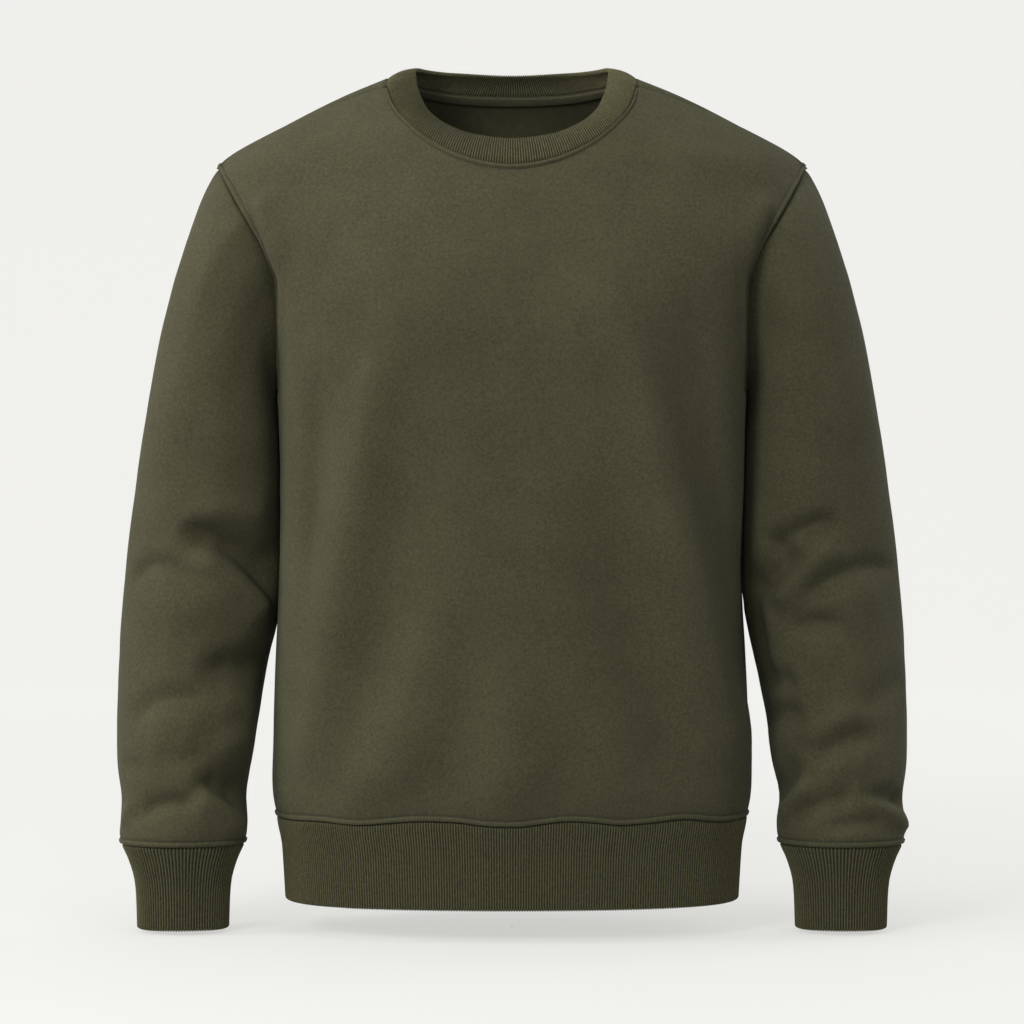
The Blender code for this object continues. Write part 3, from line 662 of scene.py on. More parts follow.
def cloth_finish(name, group, dark, light, bump, sheen):
    """A dyed cotton finish whose tone and fine relief come from a pattern group."""
    material, tree, shader = new_finish(name, {
        "Roughness": 0.92, "Specular IOR Level": 0.25, "Sheen Weight": sheen,
        "Sheen Roughness": 0.45})
    pattern, ramp, relief = new_nodes(
        tree, "ShaderNodeGroup", "ShaderNodeValToRGB", "ShaderNodeBump")
    pattern.node_tree = group
    for stop, place, colour in zip(ramp.color_ramp.elements, (0.35, 0.85), (dark, light)):
        stop.position = place
        stop.color = (*colour, 1)
    set_inputs(relief, {"Strength": 0.6, "Distance": bump})
    link(tree, (pattern, "Shade", ramp, "Fac"), (ramp, "Color", shader, "Base Color"),
         (pattern, "Height", relief, "Height"), (relief, "Normal", shader, "Normal"))
    return material


knit_face_group = pattern_group("knit face", knit_face)
fleece_face = cloth_finish(
    "olive fleece face", knit_face_group, dark=(0.052, 0.049, 0.0230),
    light=(0.1045, 0.0992, 0.0502), bump=0.00035, sheen=0.03)
fleece_inside = cloth_finish(
    "olive fleece inside", pattern_group("brushed inside", brushed_inside),
    dark=(0.046, 0.0435, 0.0215), light=(0.072, 0.068, 0.034), bump=0.0006, sheen=0.05)

front = folded_panel("front", FRONT_NECK_DROP, FRONT_NECK_POWER, FRONT_FOLDS)
back = folded_panel("back", BACK_NECK_DROP, BACK_NECK_POWER, BACK_FOLDS)
front[:LOW_ROWS, (0, LAST)] = back[:LOW_ROWS, (0, LAST)]
front_out = directions(front)
back_out = directions(back, "back")


# ---- Sleeves -------------------------------------------------------------------------
# A pair of set-in sleeves of the same fleece, each one piece with a seam under the arm.
# They are longer than the arm, so they blouse over the cuffs and wrinkle at the elbow.

CUFF_SEAM_Z = -636.0
SLEEVE_TOP_Z = -300.0
HEAD_SINK = 1.0
HEAD_SINK_REACH = 5
HEAD_SHARES = (*np.linspace(1, 0.03, 62)[1:], 0.022, 0.015, 0.009, 0.005, 0.002)
ARM_CLEARANCE = 0.5
ARM_CLEARANCE_RUN = 40
ARM_CLEARANCE_EASE = 8
BODY_SIDE = 0.99
SLEEVE_EVENING = ((-636, -600, -560), (2, 6, 14))
SLEEVE_WAVES = ((60, 0.6), (24, 0.3))
HEAD_CALM = 25
CUFF_CALM = 16
BACK_OF_ARM = 320
INNER_ARM = 18
INNER_ARM_Z = -470
INNER_ARM_RISE = 60
ARM_SEAM_DOWN = (0, 0, -2)
ARM_SEAM_PASSES = 12
NECK_SEAM_PASSES = 16

SLEEVE = table(
    "z centre_x centre_y half_width half_depth squareness",
    (-300, 251.6, 10, 58.6, 70, 2.25),
    (-350, 255.0, 12, 63.0, 66, 2.2),
    (-400, 258.3, 12, 65.8, 62, 2.15),
    (-430, 260.7, 10, 66.2, 60, 2.1),
    (-452, 263.7, 8, 64.6, 58, 2.1),
    (-503, 269.5, 1, 60.7, 56, 2.1),
    (-536, 272.2, -5, 57.7, 54, 2.1),
    (-570, 274.0, -12, 55.7, 52, 2.1),
    (-598, 273.3, -18, 50.8, 48, 2.1),
    (-614, 273.2, -21, 51.6, 48, 2.1),
    (-629, 274.0, -24, 51.8, 46, 2.1),
    (-636, 274.0, -25, 49.5, 42, 2.1),
)

SLEEVE_HEAD = table(
    "drop out down bulge start finish",
    (0.00, 0.52, 0.85, 0.00, 190, 205),
    (0.25, 0.80, 0.60, 0.35, 150, 190),
    (0.50, 0.88, 0.40, 0.35, 100, 120),
    (0.75, 0.90, 0.40, 0.20, 60, 70),
    (1.00, 0.45, 0.89, 0.00, 30, 30),
)

# Folds of the sleeves. Across is the turn in degrees from the outside of the arm (0) to
# the front (90), the inside (180) and the back (270), about a millimetre for each.
RIGHT_SLEEVE_FOLDS = table(
    FOLD,
    (88, -388, 112, -411, 158, -448, 7, 16, 1.2, 9, 0.35, 0.15),
    (76, -370, 120, -395, 200, -434, 9, 7, 3, -15, 0.3, 0.35),
    (96, -380, 124, -403, 170, -436, 9, 9, 1.3, -6, 0.35, 0.2),
    (82, -354, 109, -360, 147, -363, 14, 10, 1, 3, 0.4, 0.2),
    (26, -429, 62, -405, 110, -437, 8, 7, 1, -6, 0.3, 0.3),
    (50, -448, 79, -438, 111, -468, 18, 26, 1, 4.5, 0.4, 0.4),
    (93, -486, 136, -490, 200, -493, 10, 9, 2.6, -14, 0.35, 0.42),
    (112, -514, 140, -522, 162, -530, 10, 16, 1, 3.5, 0.3, 0.3),
    (40, -540, 75, -515, 116, -520, 10, 8, 1, -5, 0.3, 0.3),
    (62, -542, 88, -536, 108, -544, 10, 12, 1, 2, 0.3, 0.3),
    (64, -556, 94, -564, 118, -554, 8, 10, 1, -3, 0.3, 0.3),
    (116, -556, 142, -551, 172, -544, 14, 12, 1, 4, 0.3, 0.25),
    (104, -586, 131, -605, 172, -628, 6, 13, 1.2, 7.5, 0.3, 0.2),
    (98, -580, 138, -591, 196, -608, 12, 6, 2.2, -13, 0.35, 0.4),
    (44, -616, 79, -600, 112, -605, 8, 6, 1, -6, 0.3, 0.3),
    (26, -570, 46, -571, 66, -575, 8, 8, 1, -3, 0.3, 0.3),
    (22, -624, 34, -609, 46, -597, 6, 6, 1, 3.5, 0.3, 0.3),
    (236, -390, 262, -404, 300, -396, 8, 14, 1, -5, 0.3, 0.3),
    (216, -470, 256, -486, 306, -470, 9, 14, 1, -4.5, 0.3, 0.3),
    (226, -520, 262, -530, 300, -518, 12, 12, 1, 3, 0.3, 0.3),
    (214, -576, 250, -588, 300, -578, 7, 11, 1, -5, 0.3, 0.3),
)
LEFT_SLEEVE_FOLDS = table(
    FOLD,
    (76, -367, 103, -376, 136, -394, 9, 8, 1.2, -10, 0.3, 0.15),
    (80, -382, 102, -407, 137, -442, 8, 13, 1, 10, 0.25, 0.2),
    (104, -388, 124, -410, 154, -442, 14, 9, 1.3, -12, 0.35, 0.25),
    (152, -392, 158, -450, 156, -520, 14, 12, 1, -8, 0.35, 0.3),
    (13, -410, 73, -409, 106, -438, 9, 7, 1, -7, 0.25, 0.2),
    (40, -430, 75, -434, 97, -454, 14, 20, 1, 4, 0.3, 0.3),
    (83, -458, 102, -453, 126, -467, 8, 6, 1, -6, 0.3, 0.3),
    (79, -478, 100, -474, 125, -484, 14, 18, 1, 3.5, 0.4, 0.4),
    (120, -500, 144, -501, 196, -503, 9, 9, 1.4, -7, 0.35, 0.3),
    (116, -526, 144, -529, 200, -533, 10, 9, 1.4, -8, 0.4, 0.3),
    (12, -498, 50, -510, 80, -525, 16, 12, 1, -5, 0.3, 0.3),
    (72, -518, 100, -538, 128, -556, 12, 12, 1, 6.5, 0.3, 0.3),
    (50, -551, 85, -546, 120, -569, 10, 8, 1, -6.5, 0.3, 0.25),
    (64, -566, 88, -566, 112, -578, 10, 12, 1, 3, 0.3, 0.3),
    (8, -602, 51, -596, 80, -594, 12, 7, 0.6, -10, 0.15, 0.45),
    (6, -626, 51, -608, 78, -592, 12, 6, 1, 6, 0.15, 0.3),
    (118, -580, 139, -596, 166, -614, 7, 12, 1, 7, 0.3, 0.25),
    (124, -562, 150, -584, 204, -610, 12, 8, 1.4, -9, 0.45, 0.3),
    (82, -601, 110, -599, 165, -626, 9, 7, 1, -7, 0.3, 0.25),
    (50, -617, 81, -616, 112, -621, 7, 6, 1, -4.5, 0.3, 0.3),
    (230, -370, 258, -384, 300, -378, 8, 14, 1, -4.5, 0.3, 0.3),
    (220, -440, 256, -454, 300, -440, 9, 14, 1, -4.5, 0.3, 0.3),
    (236, -500, 268, -512, 306, -500, 12, 12, 1, 3, 0.3, 0.3),
    (216, -560, 254, -574, 300, -566, 7, 11, 1, -5, 0.3, 0.3),
)


SLEEVE = evened(SLEEVE, "z", SLEEVE_EVENING)


def ringed(line):
    return np.concatenate([line, line[:1]])


def armhole_loop(front_rows, back_rows):
    """Closed line from the underarm up the front, over the shoulder, down the back."""
    up = front_rows[LOW_ROWS:, -1]
    down = back_rows[:LOW_ROWS:-1, -1][1:]
    return np.concatenate([up, down])


def sleeve_ring(z, angle):
    width = at(SLEEVE, "half_width", "z", z)
    depth = at(SLEEVE, "half_depth", "z", z)
    power = 2 / at(SLEEVE, "squareness", "z", z)
    side = np.sign(np.cos(angle)) * np.abs(np.cos(angle)) ** power
    ahead = np.sign(np.sin(angle)) * np.abs(np.sin(angle)) ** power
    return stack(at(SLEEVE, "centre_x", "z", z) + width * side,
                 at(SLEEVE, "centre_y", "z", z) + depth * ahead, z)


def beside_body(points):
    """Keep the sleeve just clear of the body that it hangs against."""
    x, y, z = np.moveaxis(points, -1, 0)
    half = np.where(y < 0, at(BODY, "half_front", "z", z), at(BODY, "half_back", "z", z))
    depth = np.where(y < 0, at(BODY, "depth_front", "z", z), at(BODY, "depth_back", "z", z))
    power = at(BODY, "squareness", "z", z)
    body = half * (1 - np.clip(np.abs(y) / depth, 0, BODY_SIDE) ** power) ** (1 / power)
    least = body + FLEECE + ARM_CLEARANCE + np.abs(y) / ARM_CLEARANCE_RUN
    below = soft((UNDERARM_Z - z) / ARM_CLEARANCE_EASE)
    least = np.where(z < UNDERARM_Z, x + (least - x) * below, x)
    return stack(np.maximum(x, least), y, z)


def sleeve_grid(loop, folds):
    """Rows from the cuff up to the armhole, on the +X side; the last is the armhole."""
    half = (len(loop) + 1) // 2
    ahead = travelled(loop[:half], 0)
    behind = travelled(ringed(loop)[half - 1:], 0)
    angle = np.pi * np.concatenate([1 + ahead[:-1] / ahead[-1], 2 + behind[:-1] / behind[-1]])
    drop = np.abs(angle - 2 * np.pi) / np.pi
    levels = CUFF_SEAM_Z + places_from_edge(SLEEVE_TOP_Z - CUFF_SEAM_Z, CLOTH_STEP)
    ring = np.stack([sleeve_ring(z, angle) for z in levels])

    out, down, bulge, start_pull, finish_pull = (
        at(SLEEVE_HEAD, column, "drop", drop)
        for column in ("out", "down", "bulge", "start", "finish"))
    start = unit(stack(out, bulge * np.sin(angle), -down)) * start_pull[:, None]
    finish = unit(sleeve_ring(SLEEVE_TOP_Z - 2, angle) - sleeve_ring(SLEEVE_TOP_Z, angle))
    finish = finish * finish_pull[:, None]
    head = [blend(t, loop, start, ring[-1], finish) for t in HEAD_SHARES]
    points = np.concatenate([ring, head, [loop]])

    place = np.degrees(-angle) % 360
    place = np.where(place > BACK_OF_ARM, place - 360, place)
    place = np.repeat(place[None], len(points), axis=0)
    z = points[..., 2]
    height = fold_height(folds, place, z) + unevenness(points, SLEEVE_WAVES)
    inside = np.exp(-((place - 180) / INNER_ARM) ** 2)
    inside *= soft((z - INNER_ARM_Z) / INNER_ARM_RISE)
    calm = soft(left_to_run(points, 0) / HEAD_CALM) * (1 - inside)
    calm *= soft((z - CUFF_SEAM_Z) / CUFF_CALM)
    points = points + directions(points, closed=True) * (height * calm)[..., None]
    return beside_body(points)


loop = armhole_loop(front, back)
sleeve_left = sleeve_grid(loop, LEFT_SLEEVE_FOLDS)
sleeve_right = sleeve_grid(loop, RIGHT_SLEEVE_FOLDS)

# The seams' own outward directions, which the pieces on both sides share.
shared = unit(front_out[:LOW_ROWS, LAST] + back_out[:LOW_ROWS, LAST])
front_out[:LOW_ROWS, LAST] = back_out[:LOW_ROWS, LAST] = shared
front_out[:LOW_ROWS, 0] = back_out[:LOW_ROWS, 0] = mirrored(shared)
shoulder = [*range(NECK_START + 1), *range(LAST - NECK_START, LAST + 1)]
shared = unit(front_out[-1, shoulder] + back_out[-1, shoulder])
front_out[-1, shoulder] = back_out[-1, shoulder] = shared
body_out = armhole_loop(front_out, back_out)
sleeve_out = directions(sleeve_left, closed=True)[-1]
facing = np.maximum(0, -np.sum(body_out * sleeve_out, axis=1, keepdims=True))
arm_out = smoothed(unit(body_out + sleeve_out + facing * ARM_SEAM_DOWN), ARM_SEAM_PASSES)
rows_up = len(front) - LOW_ROWS
back_index = [0, *range(2 * rows_up - 3, rows_up - 2, -1)]
neck_line = np.concatenate([front[-1, NECK], back[-1, NECK][-2:0:-1]])
neck_out = np.concatenate([front_out[-1, NECK], back_out[-1, NECK][-2:0:-1]])
neck_out = smoothed(neck_out, NECK_SEAM_PASSES)
neck_count = NECK.stop - NECK.start
hem_line = np.concatenate([front[0], back[0][-2:0:-1]])


def cloth_walls(points, out, rise):
    """Outer and inner face of the fleece, the outer one raised at its welts."""
    return points + out * (FLEECE / 2 + rise)[..., None], points - out * (FLEECE / 2)


def panel_walls(points, out, arm_edge, neck_edge, corner_welt):
    """Outer and inner face of a panel, with its welts and seam grooves."""
    from_left = travelled(points, 1)
    from_right = left_to_run(points, 1)
    from_side = np.minimum(from_left, from_right)
    from_top = left_to_run(points, 0)
    out = out.copy()
    for distance, edge in ((from_left, mirrored(arm_edge)), (from_right, arm_edge)):
        out[LOW_ROWS:] = eased(out[LOW_ROWS:], edge[:, None], distance[LOW_ROWS:])
    out[:, NECK] = eased(out[:, NECK], neck_edge[None], from_top[:, NECK])
    rise = welt_profile(travelled(points, 0))
    rise[LOW_ROWS:] += welt_profile(from_side[LOW_ROWS:], ARM_WELT_RISE)
    rise[:LOW_ROWS] += plain_seam(from_side[:LOW_ROWS])
    columns = np.arange(points.shape[1])
    at_neck = (columns >= NECK.start) & (columns < NECK.stop)
    from_tip = soft((from_side - SHOULDER_GROOVE_START) / SHOULDER_GROOVE_EASE)
    at_shoulder = plain_seam(from_top) * from_tip
    along = from_left[-1]
    from_corner = np.minimum(along - along[NECK.start], along[NECK.stop - 1] - along)
    share = corner_welt + (1 - corner_welt) * soft(from_corner / CORNER_REACH)
    rise += np.where(at_neck[None], welt_profile(from_top) * share, at_shoulder)
    return cloth_walls(points, out, np.clip(rise, -SEAM_SINK, ARM_WELT_RISE))


front_outer, front_inner = panel_walls(
    front, front_out, arm_out[:rows_up], neck_out[:neck_count], 1.0)
back_outer, back_inner = panel_walls(
    back, back_out, arm_out[back_index],
    np.concatenate([neck_out[:1], neck_out[:neck_count - 2:-1]]), BACK_CORNER_WELT)

fleece = (fleece_face, fleece_inside)
front_panel = joined_mesh(
    "front_panel", front_outer, front_inner, laid_flat(front), False, fleece)
back_panel = joined_mesh(
    "back_panel", back_outer[:, ::-1], back_inner[:, ::-1], laid_flat(back)[:, ::-1], False,
    fleece)


def sleeve_piece(name, points):
    """A sleeve's mesh, with its outer face and the seam that its cuff hangs from."""
    from_top = left_to_run(points, 0)
    out = eased(directions(points, closed=True), arm_out[None], from_top)
    rise = welt_profile(travelled(points, 0)) + plain_seam(from_top)
    rise = np.clip(rise, -SEAM_SINK, WELT_RISE)
    rise -= HEAD_SINK * np.exp(-(from_top / HEAD_SINK_REACH) ** 2)
    outer, inner = cloth_walls(points, out, rise)
    lay = laid_flat(points, closed=True)
    seam = points[0]
    if name == "right_sleeve":
        outer, inner, lay = mirrored(outer)[:, ::-1], mirrored(inner)[:, ::-1], lay[:, ::-1]
        seam = mirrored(seam)[::-1]
    return joined_mesh(name, outer, inner, lay, True, fleece), outer, seam


left_sleeve, left_outer, left_seam = sleeve_piece("left_sleeve", sleeve_left)
right_sleeve, right_outer, right_seam = sleeve_piece("right_sleeve", sleeve_right)


def stands_for(piece, node, slot, **cut):
    """Attach a cloth piece to the root and hide the solid that it replaces; its slot and cut are not
    used.
    """
    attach(piece, "root")
    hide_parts(node)


panels = ["front_panel", "back_panel"]
stands_for(front_panel, "front", "fleece", flat=(0.545, 0.612), area=0.292,
           rests_on=["neckband"])
stands_for(back_panel, "back", "fleece", flat=(0.545, 0.64), area=0.326,
           rests_on=["neckband"])
for sleeve, side in ((left_sleeve, "left"), (right_sleeve, "right")):
    stands_for(sleeve, "sleeve_" + side, "fleece", flat=(0.43, 0.56), area=0.182,
               rests_on=panels)


# ---- Neckband ------------------------------------------------------------------------
# One strip of rib, folded double along the neck's free edge and joined in a ring. It is
# cut shorter than the neckline, so it stands up and leans in towards the wearer's neck.

RIB = 2.6
RIB_RELIEF = 1.2
RIB_SINK = 1.1
RIB_SINK_REACH = 1.6
SEAM_FIRMNESS = 0.25
FIRMNESS_REACH = 2.0
RIB_COURSE = 1.2
RIB_FOLD_TURNS = (22, 45, 68, 90, 112, 135, 158)
NECK_RIBS = 290
NECK_STEPS = 6
NECK_SHARES = (0, 0.02, 0.05, 0.1, 0.2, 0.32, 0.44, 0.56, 0.68, 0.8, 0.9, 1.0)
SHOULDER_TURN = 0.55
NECKBAND_ROLL = 2.0

NECK_EDGE = table(
    "turn x y z",
    (-0.25, -53, 50, 14.5),
    (0.00, 0, 62, 14),
    (0.25, 53, 50, 14.5),
    (0.40, 77, 25, 14),
    (0.50, 82.5, 0, 10),
    (0.60, 80.5, -24, -6.5),
    (0.66, 76.5, -38, -18),
    (0.715, 71.5, -49, -28.5),
    (0.765, 64.2, -58, -36.8),
    (0.81, 54.0, -65, -44.2),
    (0.89, 32.5, -73, -53.2),
    (1.00, 0, -77, -57.5),
    (1.11, -32.5, -73, -53.2),
)


def part_tree(name, inputs):
    """A geometry tree with named inputs, which ends in plain mesh and the given finish."""
    tree = bpy.data.node_groups.new(name, "GeometryNodeTree")
    for label, kind in inputs.items():
        tree.interface.new_socket(label, in_out="INPUT", socket_type="NodeSocket" + kind)
    tree.interface.new_socket("Piece", in_out="OUTPUT", socket_type="NodeSocketGeometry")
    given, real, finish, result = new_nodes(
        tree, "NodeGroupInput", "GeometryNodeRealizeInstances", "GeometryNodeSetMaterial",
        "NodeGroupOutput")
    link(tree, (real, "Geometry", finish, "Geometry"), (given, "Finish", finish, "Material"),
         (finish, "Geometry", result, "Piece"))
    return tree, given, real


def rib_tree():
    """Raises ribs round a ring of plain cloth: sockets for their number and height."""
    tree, given, real = part_tree("raise ribs", {
        "Ring": "Geometry", "Ribs": "Float", "Relief": "Float", "Finish": "Material"})
    turn, outward, firmness, move, scale = new_nodes(
        tree, *3 * ["GeometryNodeInputNamedAttribute"], "GeometryNodeSetPosition",
        "ShaderNodeVectorMath")
    outward.data_type = "FLOAT_VECTOR"
    for node, label in ((turn, "turn"), (outward, "outward"), (firmness, "relief")):
        node.inputs["Name"].default_value = label
    wave = reckon(tree, "MULTIPLY", turn.outputs["Attribute"], given.outputs["Ribs"])
    wave = reckon(tree, "COSINE", reckon(tree, "MULTIPLY", wave, FULL_TURN))
    for share in (given.outputs["Relief"], firmness.outputs["Attribute"]):
        wave = reckon(tree, "MULTIPLY", wave, share)
    scale.operation = "SCALE"
    tree.links.new(wave, scale.inputs["Scale"])
    link(tree, (outward, "Attribute", scale, 0), (scale, 0, move, "Offset"),
         (given, "Ring", move, "Geometry"), (move, "Geometry", real, "Geometry"))
    return tree


def made_plain(piece, tree, **inputs):
    """Run a node tree on a piece with its named inputs and keep the mesh it makes."""
    modifier = piece.modifiers.new(tree.name, "NODES")
    modifier.node_group = tree
    for item in tree.interface.items_tree:
        if item.in_out == "INPUT" and item.name in inputs:
            modifier[item.identifier] = inputs[item.name]
    depsgraph = bpy.context.evaluated_depsgraph_get()
    mesh = bpy.data.meshes.new_from_object(
        piece.evaluated_get(depsgraph), preserve_all_data_layers=True, depsgraph=depsgraph)
    piece.modifiers.remove(modifier)
    mesh.name = piece.name
    piece.data = mesh


def rib_knit(tree):
    """Rib knit seen close: painted shade darkens the furrow between two ribs, which is finely
    stitched.
    """
    across, up = lay_places(tree)
    rib = reckon(tree, "COSINE", reckon(tree, "MULTIPLY", across, FULL_TURN / MM))
    crest = reckon(tree, "MULTIPLY_ADD", rib, 0.5, 0.5)
    course = reckon(tree, "DIVIDE", up, RIB_COURSE * MM)
    loops = reckon(tree, "SINE", reckon(tree, "MULTIPLY", course, FULL_TURN))
    heather = noise_over(tree, scale=420, detail=3, rough=0.65)
    # The crest term is painted shade: the furrows between ribs are darker, the crests lighter. Heather
    # is the yarn's own tone.
    return (weighed(tree, (crest, 0.5), (heather, 0.7)),
            weighed(tree, (loops, 0.5), (heather, 1.0)))


raise_ribs = rib_tree()
rib_finish = cloth_finish(
    "olive rib", pattern_group("rib knit", rib_knit), dark=(0.025, 0.0237, 0.0112),
    light=(0.118, 0.1115, 0.0535), bump=0.0003, sheen=0.03)


def thinned(line, count):
    """A closed line with its points spaced evenly."""
    return resample(ringed(line), np.arange(count) / count)


def rib_ring(name, rows, ribs):
    """A doubled rib band from closed rows, the seam's first and the folded edge last."""
    down = rows[0, :, 2].mean() > rows[-1, :, 2].mean()
    out = directions(rows, closed=True) * (-1 if down else 1)
    along = unit(rows[-1] - rows[-2])
    bend = np.radians(RIB_FOLD_TURNS)[:, None, None]
    fold = rows[-1] + RIB / 2 * (np.cos(bend) * out[-1] + np.sin(bend) * along)
    skin = np.concatenate([rows + out * RIB / 2, fold, (rows - out * RIB / 2)[::-1]])
    skin_out = np.concatenate([out, unit(fold - rows[-1]), -out[::-1]])
    run_up = travelled(skin, 0)
    from_seam = np.minimum(run_up, run_up[-1] - run_up)
    firmness = SEAM_FIRMNESS + (1 - SEAM_FIRMNESS) * soft(from_seam / FIRMNESS_REACH)
    sink = RIB_SINK * (1 - soft(from_seam / RIB_SINK_REACH))
    skin = skin - skin_out * sink[..., None]
    closed_rows, count = skin.shape[:2]
    r, c = np.meshgrid(np.arange(closed_rows), np.arange(count), indexing="ij")
    up, after = (r + 1) % closed_rows * count, (c + 1) % count
    faces = np.stack([r * count + c, r * count + after, up + after, up + c], axis=-1)
    across = np.stack([c, c + 1, c + 1, c], axis=-1) * ribs / count
    high = np.concatenate([run_up.mean(axis=1), [run_up[-1].mean() + RIB]])
    rise = np.stack([high[r], high[r], high[r + 1], high[r + 1]], axis=-1)
    lay = np.stack([across, rise], axis=-1)
    if down:
        faces, lay = faces[..., ::-1], lay[..., ::-1, :]
    mesh = smooth_mesh(name, skin.reshape(-1, 3) * MM, faces.reshape(-1, 4))
    turn = np.broadcast_to(np.arange(count) / count, skin.shape[:2])
    for label, kind, field, values in (
            ("turn", "FLOAT", "value", turn), ("relief", "FLOAT", "value", firmness),
            ("outward", "FLOAT_VECTOR", "vector", skin_out)):
        attribute = mesh.attributes.new(label, kind, "POINT")
        attribute.data.foreach_set(field, values.reshape(-1).astype(np.float32))
    mark_lay(mesh, lay)
    piece = placed(name, mesh)
    made_plain(piece, raise_ribs, Ribs=float(ribs), Relief=RIB_RELIEF / 2 * MM, Finish=rib_finish)
    return piece


def neckband_rows(count):
    """Rows from the neck seam up to the band's free edge, with points spaced evenly."""
    half = neck_count - 1
    ahead = travelled(neck_line[:half + 1], 0)
    behind = travelled(ringed(neck_line)[half:], 0)
    front_share = ahead[:-1] / ahead[-1] * 2 - 1
    back_share = behind[:-1] / behind[-1] * 2 - 1
    turn = np.concatenate([1 - np.abs(front_share) * (1 - SHOULDER_TURN),
                           np.abs(back_share) * SHOULDER_TURN])
    side = np.concatenate([np.sign(front_share), -np.sign(back_share)])
    edge = stack(side * at(NECK_EDGE, "x", "turn", turn),
                 at(NECK_EDGE, "y", "turn", turn), at(NECK_EDGE, "z", "turn", turn))
    shares = np.array(NECK_SHARES)[:, None, None]
    rows = neck_line + (edge - neck_line) * shares
    rows = rows + directions(rows, closed=True) * 4 * NECKBAND_ROLL * shares * (1 - shares)
    order = travelled(ringed(neck_line), 0)
    spaced = np.arange(count) / count * order[-1]
    return np.array([read_along(ringed(row), order, spaced) for row in rows])


neckband = rib_ring("neck_rib", neckband_rows(NECK_RIBS * NECK_STEPS), NECK_RIBS)
stands_for(neckband, "neckband", "rib", flat=(0.56, 0.030), rests_on=panels)


# ---- Hem band ------------------------------------------------------------------------
# A ring of the same rib, folded double along the bottom. It is shorter than the body is
# round, so it draws the body in, which hangs over the seam a little.

HEM_RIBS = 450
HEM_STEPS = 5
HEM_HALF = 196.5
HEM_Z = -682.0
HEM_SHARES = (0, 0.012, 0.03, 0.06, 0.1, 0.16, 0.24, 0.34, 0.46, 0.58, 0.7, 0.82, 0.92, 1.0)
HEM_BAND = table(
    "z half",
    (-613, HEM_HALF),
    (-620, 195.6),
    (-637, 192.2),
    (-660, 190.6),
    (-682, 189.3),
)

hem_top = thinned(hem_line, HEM_RIBS * HEM_STEPS)
hem_rows = []
for share in HEM_SHARES:
    draw = at(HEM_BAND, "half", "z", HEM_SEAM_Z + (HEM_Z - HEM_SEAM_Z) * share) / HEM_HALF
    row = hem_top * (draw, draw, 1)
    row[:, 2] += (HEM_Z - hem_top[:, 2]) * share
    hem_rows.append(row)
hem_band = rib_ring("hem_rib", np.array(hem_rows), HEM_RIBS)
stands_for(hem_band, "hem_band", "rib", flat=(1.0, 0.070), rests_on=panels)


# ---- Cuffs ---------------------------------------------------------------------------
# Two short rings of rib, folded double, far narrower than the sleeves they gather in.

CUFF_RIBS = 96
CUFF_STEPS = 8
CUFF_Z = -705.0
CUFF_SHARES = (0.01, 0.025, 0.05, 0.09, 0.14, 0.2, 0.27, 0.35, 0.44, 0.54, 0.65, 0.77, 0.9, 1.0)
CUFF = table(
    "z half_width half_depth",
    (-636, 49.5, 42),
    (-641, 47.2, 40),
    (-647, 44.4, 37.8),
    (-653, 42.2, 35.8),
    (-660, 40.0, 33.6),
    (-668, 38.3, 31.6),
    (-680, 37.2, 30.4),
    (-705, 36.4, 29.6),
)

for side, seam in (("left", left_seam), ("right", right_seam)):
    ring = thinned(seam, CUFF_RIBS * CUFF_STEPS)
    low, high = ring.min(axis=0), ring.max(axis=0)
    centre, size = (low + high) / 2, (high - low) / 2
    rows = [ring]
    for share in CUFF_SHARES:
        z = CUFF_SEAM_Z + (CUFF_Z - CUFF_SEAM_Z) * share
        wide = at(CUFF, "half_width", "z", z) / size[0]
        deep = at(CUFF, "half_depth", "z", z) / size[1]
        row = (ring - centre) * (wide, deep, 1) + centre
        row[:, 2] = ring[:, 2] + (CUFF_Z - ring[:, 2]) * share
        rows.append(row)
    cuff = rib_ring(side + "_cuff", np.array(rows), CUFF_RIBS)
    stands_for(cuff, "cuff_" + side, "rib", flat=(0.265, 0.070), rests_on=[side + "_sleeve"])


# ---- Back neck tape ------------------------------------------------------------------
# A narrow strip of the same cloth, folded at both edges and sewn over the neck seam
# inside the back, from shoulder to shoulder.

TAPE_PLACES = np.array((9.8, 9.2, 8.6, 7.6, 6.4, 5.2, 4.2, 3.0, 2.0, 1.3, 0.8))
TAPE_SEWN = (1.9, 8.5)
TAPE_DIP = 0.3
TAPE_DIP_WIDTH = 0.5
TAPE_EDGE = 0.8
TAPE_WALL = 1.0
TAPE_GAP = 0.5
TAPE_BACK = 0.1
TAPE_ENDS = 3

tape_finish = cloth_finish(
    "olive tape", knit_face_group, dark=(0.075, 0.070, 0.0370), light=(0.125, 0.118, 0.0620),
    bump=0.0003, sheen=0.03)


def inset(grid, distance, face):
    """A line this far in from a grid's first row, read on the given face of the cloth."""
    gone = travelled(grid, 0)
    return np.array([read_along(face[:, k], gone[:, k], distance) for k in range(len(gone[0]))])


neck_inside = back_inner[::-1, NECK][:, TAPE_ENDS:-TAPE_ENDS]
tape_grid = np.array([inset(neck_inside, place, neck_inside) for place in TAPE_PLACES])
tape_out = directions(tape_grid, "back")
thick = TAPE_WALL * soft((TAPE_PLACES - TAPE_PLACES[-1]) / TAPE_EDGE)
thick *= soft((TAPE_PLACES[0] - TAPE_PLACES) / TAPE_EDGE)
for place in TAPE_SEWN:
    thick -= TAPE_DIP * np.exp(-((TAPE_PLACES - place) / TAPE_DIP_WIDTH) ** 2)
tape_inner = tape_grid - tape_out * (TAPE_GAP + thick)[:, None, None]
tape_outer = tape_grid - tape_out * TAPE_BACK
neck_tape = joined_mesh(
    "back_neck_tape", tape_outer[:, ::-1], tape_inner[:, ::-1], laid_flat(tape_grid)[:, ::-1],
    False, (tape_finish,))
stands_for(neck_tape, "neck_tape", "tape", flat=(0.245, 0.0105), rests_on=["back_panel"])
